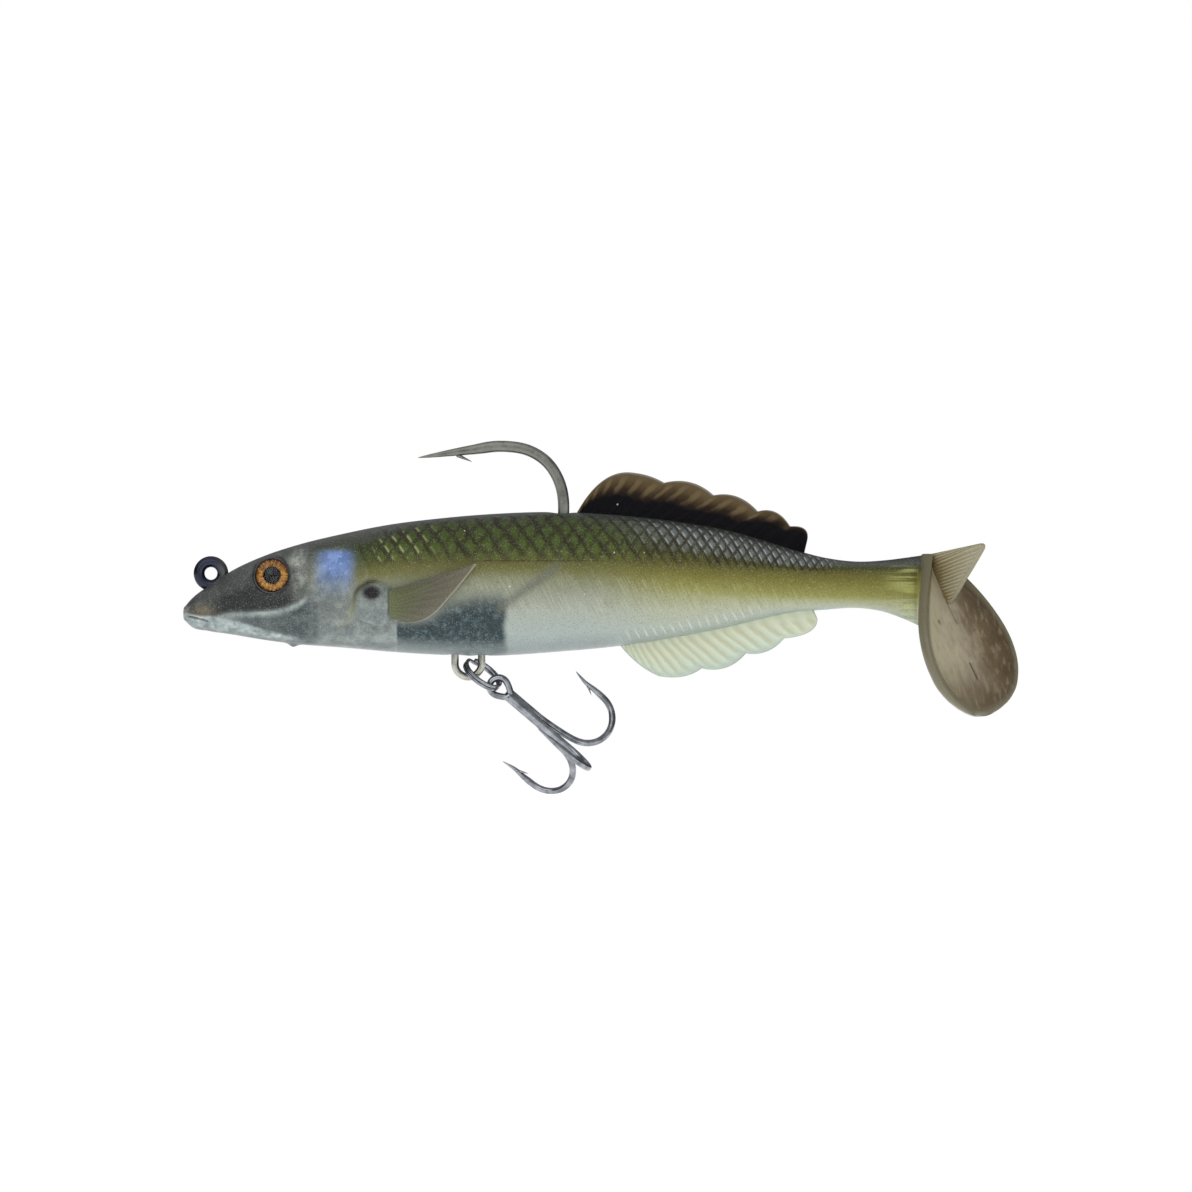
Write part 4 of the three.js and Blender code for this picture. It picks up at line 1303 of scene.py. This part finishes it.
def main_hook():
    """The jig hook: an eye, a shank with a forged bend, a needle point and a barb."""
    line = flat_line(HOOK_LINE, 360)
    share = np.linspace(0, 1, len(line))
    length = np.linalg.norm(np.diff(line, axis=0), axis=1).sum()
    left = (1 - share) * length  # still to go to the point
    radii = HOOK_WIRE * (0.04 + 0.96 * np.clip(left / 11.5, 0, 1) ** 0.72)
    shank = tube(line, radii, 28, square=3.0, width=0.92)
    ring = arc((0, 0), HOOK_EYE, 0, 360, 121)
    eye_line = np.stack([ring[:, 0], 0 * ring[:, 0], ring[:, 1]], axis=1)[:-1]
    eye = tube_loop(eye_line, HOOK_WIRE * 0.98, 24)
    neck = flat_line([(1.1, -1.1), (2.6, -2.4), (4.4, -3.8)], 30)
    collar = tube(neck, np.linspace(1.25, 0.94, 30), 24)
    barb = barb_shell((41.2, 19.85), (43.75, 18.7), 0.34, 0.3)
    shell = joined(shank, eye, collar, barb)
    blued = ease(shell[0][:, 0], 4.0, 0.5)
    hook = make_piece("main_hook_wire", shell, MATERIALS["hook"], {"blued": blued})
    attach(hook, "front")
    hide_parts("main_hook")


def tube_loop(line, radius, sides):
    """A closed ring of round wire along a closed line in the plane of x and z."""
    tangent = unit(np.roll(line, -1, axis=0) - np.roll(line, 1, axis=0))
    side = np.broadcast_to(np.array([0.0, 1.0, 0.0]), line.shape)
    up = np.cross(tangent, side)
    angle = np.linspace(0, 2 * pi, sides, endpoint=False)
    across = np.cos(angle)[None, :, None] * side[:, None, :]
    upward = np.sin(angle)[None, :, None] * up[:, None, :]
    rings = line[:, None, :] + radius * (across + upward)
    count = len(line)
    faces = grid_faces(count + 1, sides)
    faces = [[corner % (count * sides) for corner in face] for face in faces]
    return rings.reshape(-1, 3), faces


def belly_hanger():
    """The U of wire that carries the split ring, its legs cast into the belly weight."""
    left, right = HANGER["x"] - HANGER["bend"], HANGER["x"] + HANGER["bend"]
    bend = arc((HANGER["x"], HANGER["z"]), HANGER["bend"], 180, 360, 41)
    legs = [(left, z_leg) for z_leg in np.linspace(HANGER["top"], HANGER["z"], 24)[:-1]]
    line = legs + [tuple(p) for p in bend] + [(right, z_leg) for _, z_leg in legs[::-1]]
    line = np.array([(px, 0, pz) for px, pz in line])
    hanger = make_piece("hanger_wire", tube(line, HANGER["wire"], 22), MATERIALS["hanger"])
    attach(hanger, "front")
    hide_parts("belly_hanger")


def turn_about(axis, angle):
    return np.array(Matrix.Rotation(angle, 3, axis))


ring_turn = turn_about("Y", RING["slope"]) @ turn_about("X", RING["tilt"])
treble_turn = ring_turn @ turn_about("Y", TREBLE["slope"]) @ turn_about("X", -RING["tilt"])
hanger_centre = np.array([HANGER["x"], 0, HANGER["z"]])
treble_centre = hanger_centre + ring_turn @ np.array([RING["reach"] + RING["radius"], 0, 0])


def split_ring():
    """Two flat coils of wire lying on each other, one running into the other."""
    turns = np.linspace(0.03, 1.97, 300)
    angle = 2 * pi * turns + radians(150)
    pitch_half = RING["width"] / 4 + 0.01
    lift = pitch_half * (2 * ease(turns, 0.93, 1.07) - 1)
    out, side = RING["radius"] * np.cos(angle), RING["radius"] * np.sin(angle)
    line = np.stack([RING["reach"] + out, side, lift], axis=1)
    ends = np.minimum(turns - 0.03, 1.97 - turns)
    size = RING["wire"] * np.sqrt(np.clip(1 - (1 - ends / 0.012).clip(0, 1) ** 2, 0.05, 1))
    coil, faces = tube(line, size, 16, (0, 0, 1), square=3.2)
    ring = make_piece("split_ring_coil", (coil @ ring_turn.T + hanger_centre, faces), MATERIALS["treble"])
    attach(ring, "ring")
    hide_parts("split_ring")


def treble_hook(start, spread, along, out, azimuth):
    """One of the treble's hooks in the treble's frame: x runs along the shank from the eye's centre."""
    bend = TREBLE["bend"]
    line = [(start, spread), (along - 8, spread), (along - 4.6, spread + 0.08)]
    line += [tuple(p) for p in arc((along, out), bend, -72, 72, 7)]
    leg = out + bend
    line += [(along - 1.4, leg + 0.02), (along - 3.6, leg - 0.02), (along - 6.0, leg + 0.4)]
    line = flat_line(line, 220)
    left = np.linspace(1, 0, len(line)) * np.linalg.norm(np.diff(line, axis=0), axis=1).sum()
    radii = TREBLE["wire"] * (0.04 + 0.96 * np.clip(left / 5.6, 0, 1) ** 0.7)
    turn = turn_about("X", radians(azimuth))
    wire, faces = tube(line, radii, 20)
    barb = barb_shell((along - 2.9, leg - 0.25), (along - 1.35, leg - 1.15), 0.22, 0.2, turn)
    return joined((wire @ turn.T, faces), barb)


def treble():
    """The brazed treble: a double hook bent from one wire with its eye, and a single hook beside it."""
    ring = arc((0, 0), TREBLE["eye"], 0, 360, 97)[:-1]
    loop = np.stack([ring[:, 0], 0 * ring[:, 0], ring[:, 1]], axis=1)
    # The eye is drawn out into the shank, as a pear.
    loop[:, 0] += 0.9 * ease(loop[:, 0], 0.0, 1.5)
    loop[:, 2] *= 1 - 0.35 * ease(ring[:, 0], 0.2, 1.5)
    eye = tube_loop(loop, TREBLE["wire"], 20)
    upper = treble_hook(1.6, 0.6, 14.35, 6.2, -25)
    lower = treble_hook(1.6, 0.6, 14.85, 6.1, -145)
    solder_line = flat_line([(2.0, 0), (3.0, 0.02), (8.0, 0.02), (10.6, 0)], 60)
    share = np.linspace(0, 1, 60)
    solder = tube(solder_line, 0.25 + 0.62 * window(share, 0, 0.12, 0.4, 1.0), 20, width=1.1)
    single = treble_hook(2.4, 1.0, 15.3, 6.0, 95)

    def placed(shell):
        return shell[0] @ treble_turn.T + treble_centre, shell[1]

    double = joined(eye, upper, lower, solder)
    double_piece = make_piece("treble_double_wire", placed(double), MATERIALS["treble"])
    single_piece = make_piece("treble_single_wire", placed(single), MATERIALS["treble"])
    for piece, node in ((double_piece, "treble_double"), (single_piece, "treble_single")):
        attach(piece, "treble")
        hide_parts(node)


main_hook()
belly_hanger()
split_ring()
treble()

# ---------------------------------------------------------------- eyes


def eye(word, side):
    """A black cup with a round rim, an amber iris and a clear dome over it."""
    centre = (EYE["x"], EYE["z"])
    rim = arc((EYE["radius"] - 0.18, 5.6), 0.18, 180, 0, 13)
    cup_profile = [(0, 4.55), (1.2, 4.55), (EYE["radius"] - 0.36, 4.55), (EYE["radius"] - 0.36, 5.35)]
    cup_profile += [tuple(p) for p in rim] + [(EYE["radius"], 5.2), (EYE["radius"] - 0.1, 3.9), (0, 3.9)]
    cup = make_piece("eye_cup_ring_" + word, turned(cup_profile, 72, centre, side), MATERIALS["cup"])

    radii = np.linspace(0, EYE["iris"], 30)
    top = [(r, 5.12 + 0.12 * (1 - (r / EYE["iris"]) ** 2)) for r in radii]
    iris_shell = turned(top + [(EYE["iris"], 4.9), (0, 4.85)], 96, centre, side)
    from_centre = iris_shell[0][:, [0, 2]] - np.array(centre)
    reach = np.linalg.norm(from_centre, axis=1)
    way = from_centre / np.maximum(reach, 1e-6)[:, None]
    layer = np.column_stack([way, reach / EYE["iris"]])
    iris = make_piece("eye_iris_disc_" + word, iris_shell, MATERIALS["iris"], {"iris": layer})

    reach_out = EYE["iris"] - 0.03
    swell = [(reach_out * cos(a), 5.28 + 0.82 * sin(a)) for a in np.linspace(0, pi / 2, 20)]
    dome_shell = turned([(0, 5.27)] + swell, 72, centre, side)
    dome = make_piece("eye_dome_lens_" + word, dome_shell, MATERIALS["dome"])
    nodes = ((cup, "eye_cup", "eye_cup"), (iris, "eye_iris", "eye_iris"), (dome, "eye_dome", "eye_lens"))
    for piece, node, slot in nodes:
        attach(piece, "front")
        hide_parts(node + "_" + word)


eye("left", -1)
eye("right", 1)

# ---------------------------------------------------------------- lead, inside the body

for node in ("lead_head", "belly_weight"):
    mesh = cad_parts[node].data
    co = np.array([v.co for v in mesh.vertices]) / MM
    add_attributes(mesh, {"place": co})
    mesh.materials.clear()
    mesh.materials.append(MATERIALS["lead"])

# ---------------------------------------------------------------- stage, light and camera


def floor():
    size, height = 4.0, -0.112
    mesh = bpy.data.meshes.new("pale_floor")
    corners = [(-size, -size, height), (size, -size, height), (size, size, height), (-size, size, height)]
    mesh.from_pydata(corners, [], [[0, 1, 2, 3]])
    n = Nodes("pale_floor")
    grain = n.noise(n.made("TexCoord", "Object", {}), 30.0, 3.0)
    white = n.mix(grain, (0.9, 0.9, 0.9, 1), (0.94, 0.94, 0.94, 1))
    n.surface(white, 0.8, Emission_Color=(1, 1, 1, 1), Emission_Strength=0.75)
    mesh.materials.append(n.material)
    made = bpy.data.objects.new("pale_floor", mesh)
    bpy.context.scene.collection.objects.link(made)


def softbox(name, place, size, power, target=(0.06, 0, 0), colour=(1, 1, 1)):
    data = bpy.data.lights.new(name, "AREA")
    data.shape = "RECTANGLE"
    data.size, data.size_y = size
    data.energy = power
    data.color = colour
    made = bpy.data.objects.new(name, data)
    made.location = place
    made.rotation_euler = (Vector(target) - Vector(place)).to_track_quat("-Z", "Y").to_euler()
    bpy.context.scene.collection.objects.link(made)


def studio_world():
    """White to the camera. As light it is bright above, dim on the camera's side and dark behind."""
    world = bpy.data.worlds.new("studio")
    bpy.context.scene.world = world
    world.use_nodes = True
    tree = world.node_tree
    tree.nodes.clear()

    def add(kind, **settings):
        made = tree.nodes.new("ShaderNode" + kind)
        for key, value in settings.items():
            setattr(made, key, value)
        return made

    coordinates = add("TexCoord")
    split = add("SeparateXYZ")
    tree.links.new(coordinates.outputs["Generated"], split.inputs[0])
    rise = add("MapRange", interpolation_type="SMOOTHSTEP")
    back = add("MapRange", interpolation_type="SMOOTHSTEP")
    tree.links.new(split.outputs[2], rise.inputs[0])
    tree.links.new(split.outputs[1], back.inputs[0])
    # From where to where each one climbs, and from how much light to how much.
    for node, numbers in ((rise, (0.1, 0.9, 0.0, 1.0)), (back, (-0.3, -0.95, 0.0, 0.35))):
        for socket, number in zip(node.inputs[1:5], numbers):
            socket.default_value = number
    most = add("Math", operation="MAXIMUM")
    tree.links.new(rise.outputs[0], most.inputs[0])
    tree.links.new(back.outputs[0], most.inputs[1])
    tint = add("Mix", data_type="RGBA")
    tree.links.new(most.outputs[0], tint.inputs[0])
    tint.inputs[6].default_value = (0.1, 0.1, 0.105, 1)
    tint.inputs[7].default_value = (0.62, 0.625, 0.63, 1)
    path = add("LightPath")
    seen = add("Mix", data_type="RGBA")
    tree.links.new(path.outputs["Is Camera Ray"], seen.inputs[0])
    tree.links.new(tint.outputs[2], seen.inputs[6])
    seen.inputs[7].default_value = (1.0, 1.0, 1.0, 1)
    background = add("Background")
    tree.links.new(seen.outputs[2], background.inputs[0])
    output = add("OutputWorld")
    tree.links.new(background.outputs[0], output.inputs[0])


def camera():
    """Level, square to the left flank, from far enough away that the lure shows little perspective."""
    data = bpy.data.cameras.new("camera")
    data.lens = 300
    data.sensor_width = 36
    frame_width = 0.19966
    made = bpy.data.objects.new("camera", data)
    made.location = (0.06449, -frame_width * data.lens / data.sensor_width, -0.00377)
    made.rotation_euler = (pi / 2, 0, 0)
    bpy.context.scene.collection.objects.link(made)
    bpy.context.scene.camera = made


floor()
studio_world()
softbox("key", (-0.25, -0.8, 0.5), (1.2, 0.8), 4.2)
softbox("fill", (0.55, -0.7, -0.05), (0.8, 0.8), 1.3)
softbox("top", (0.05, -0.1, 0.7), (0.9, 0.2), 0.5)
camera()
bpy.context.scene.view_settings.view_transform = "Standard"
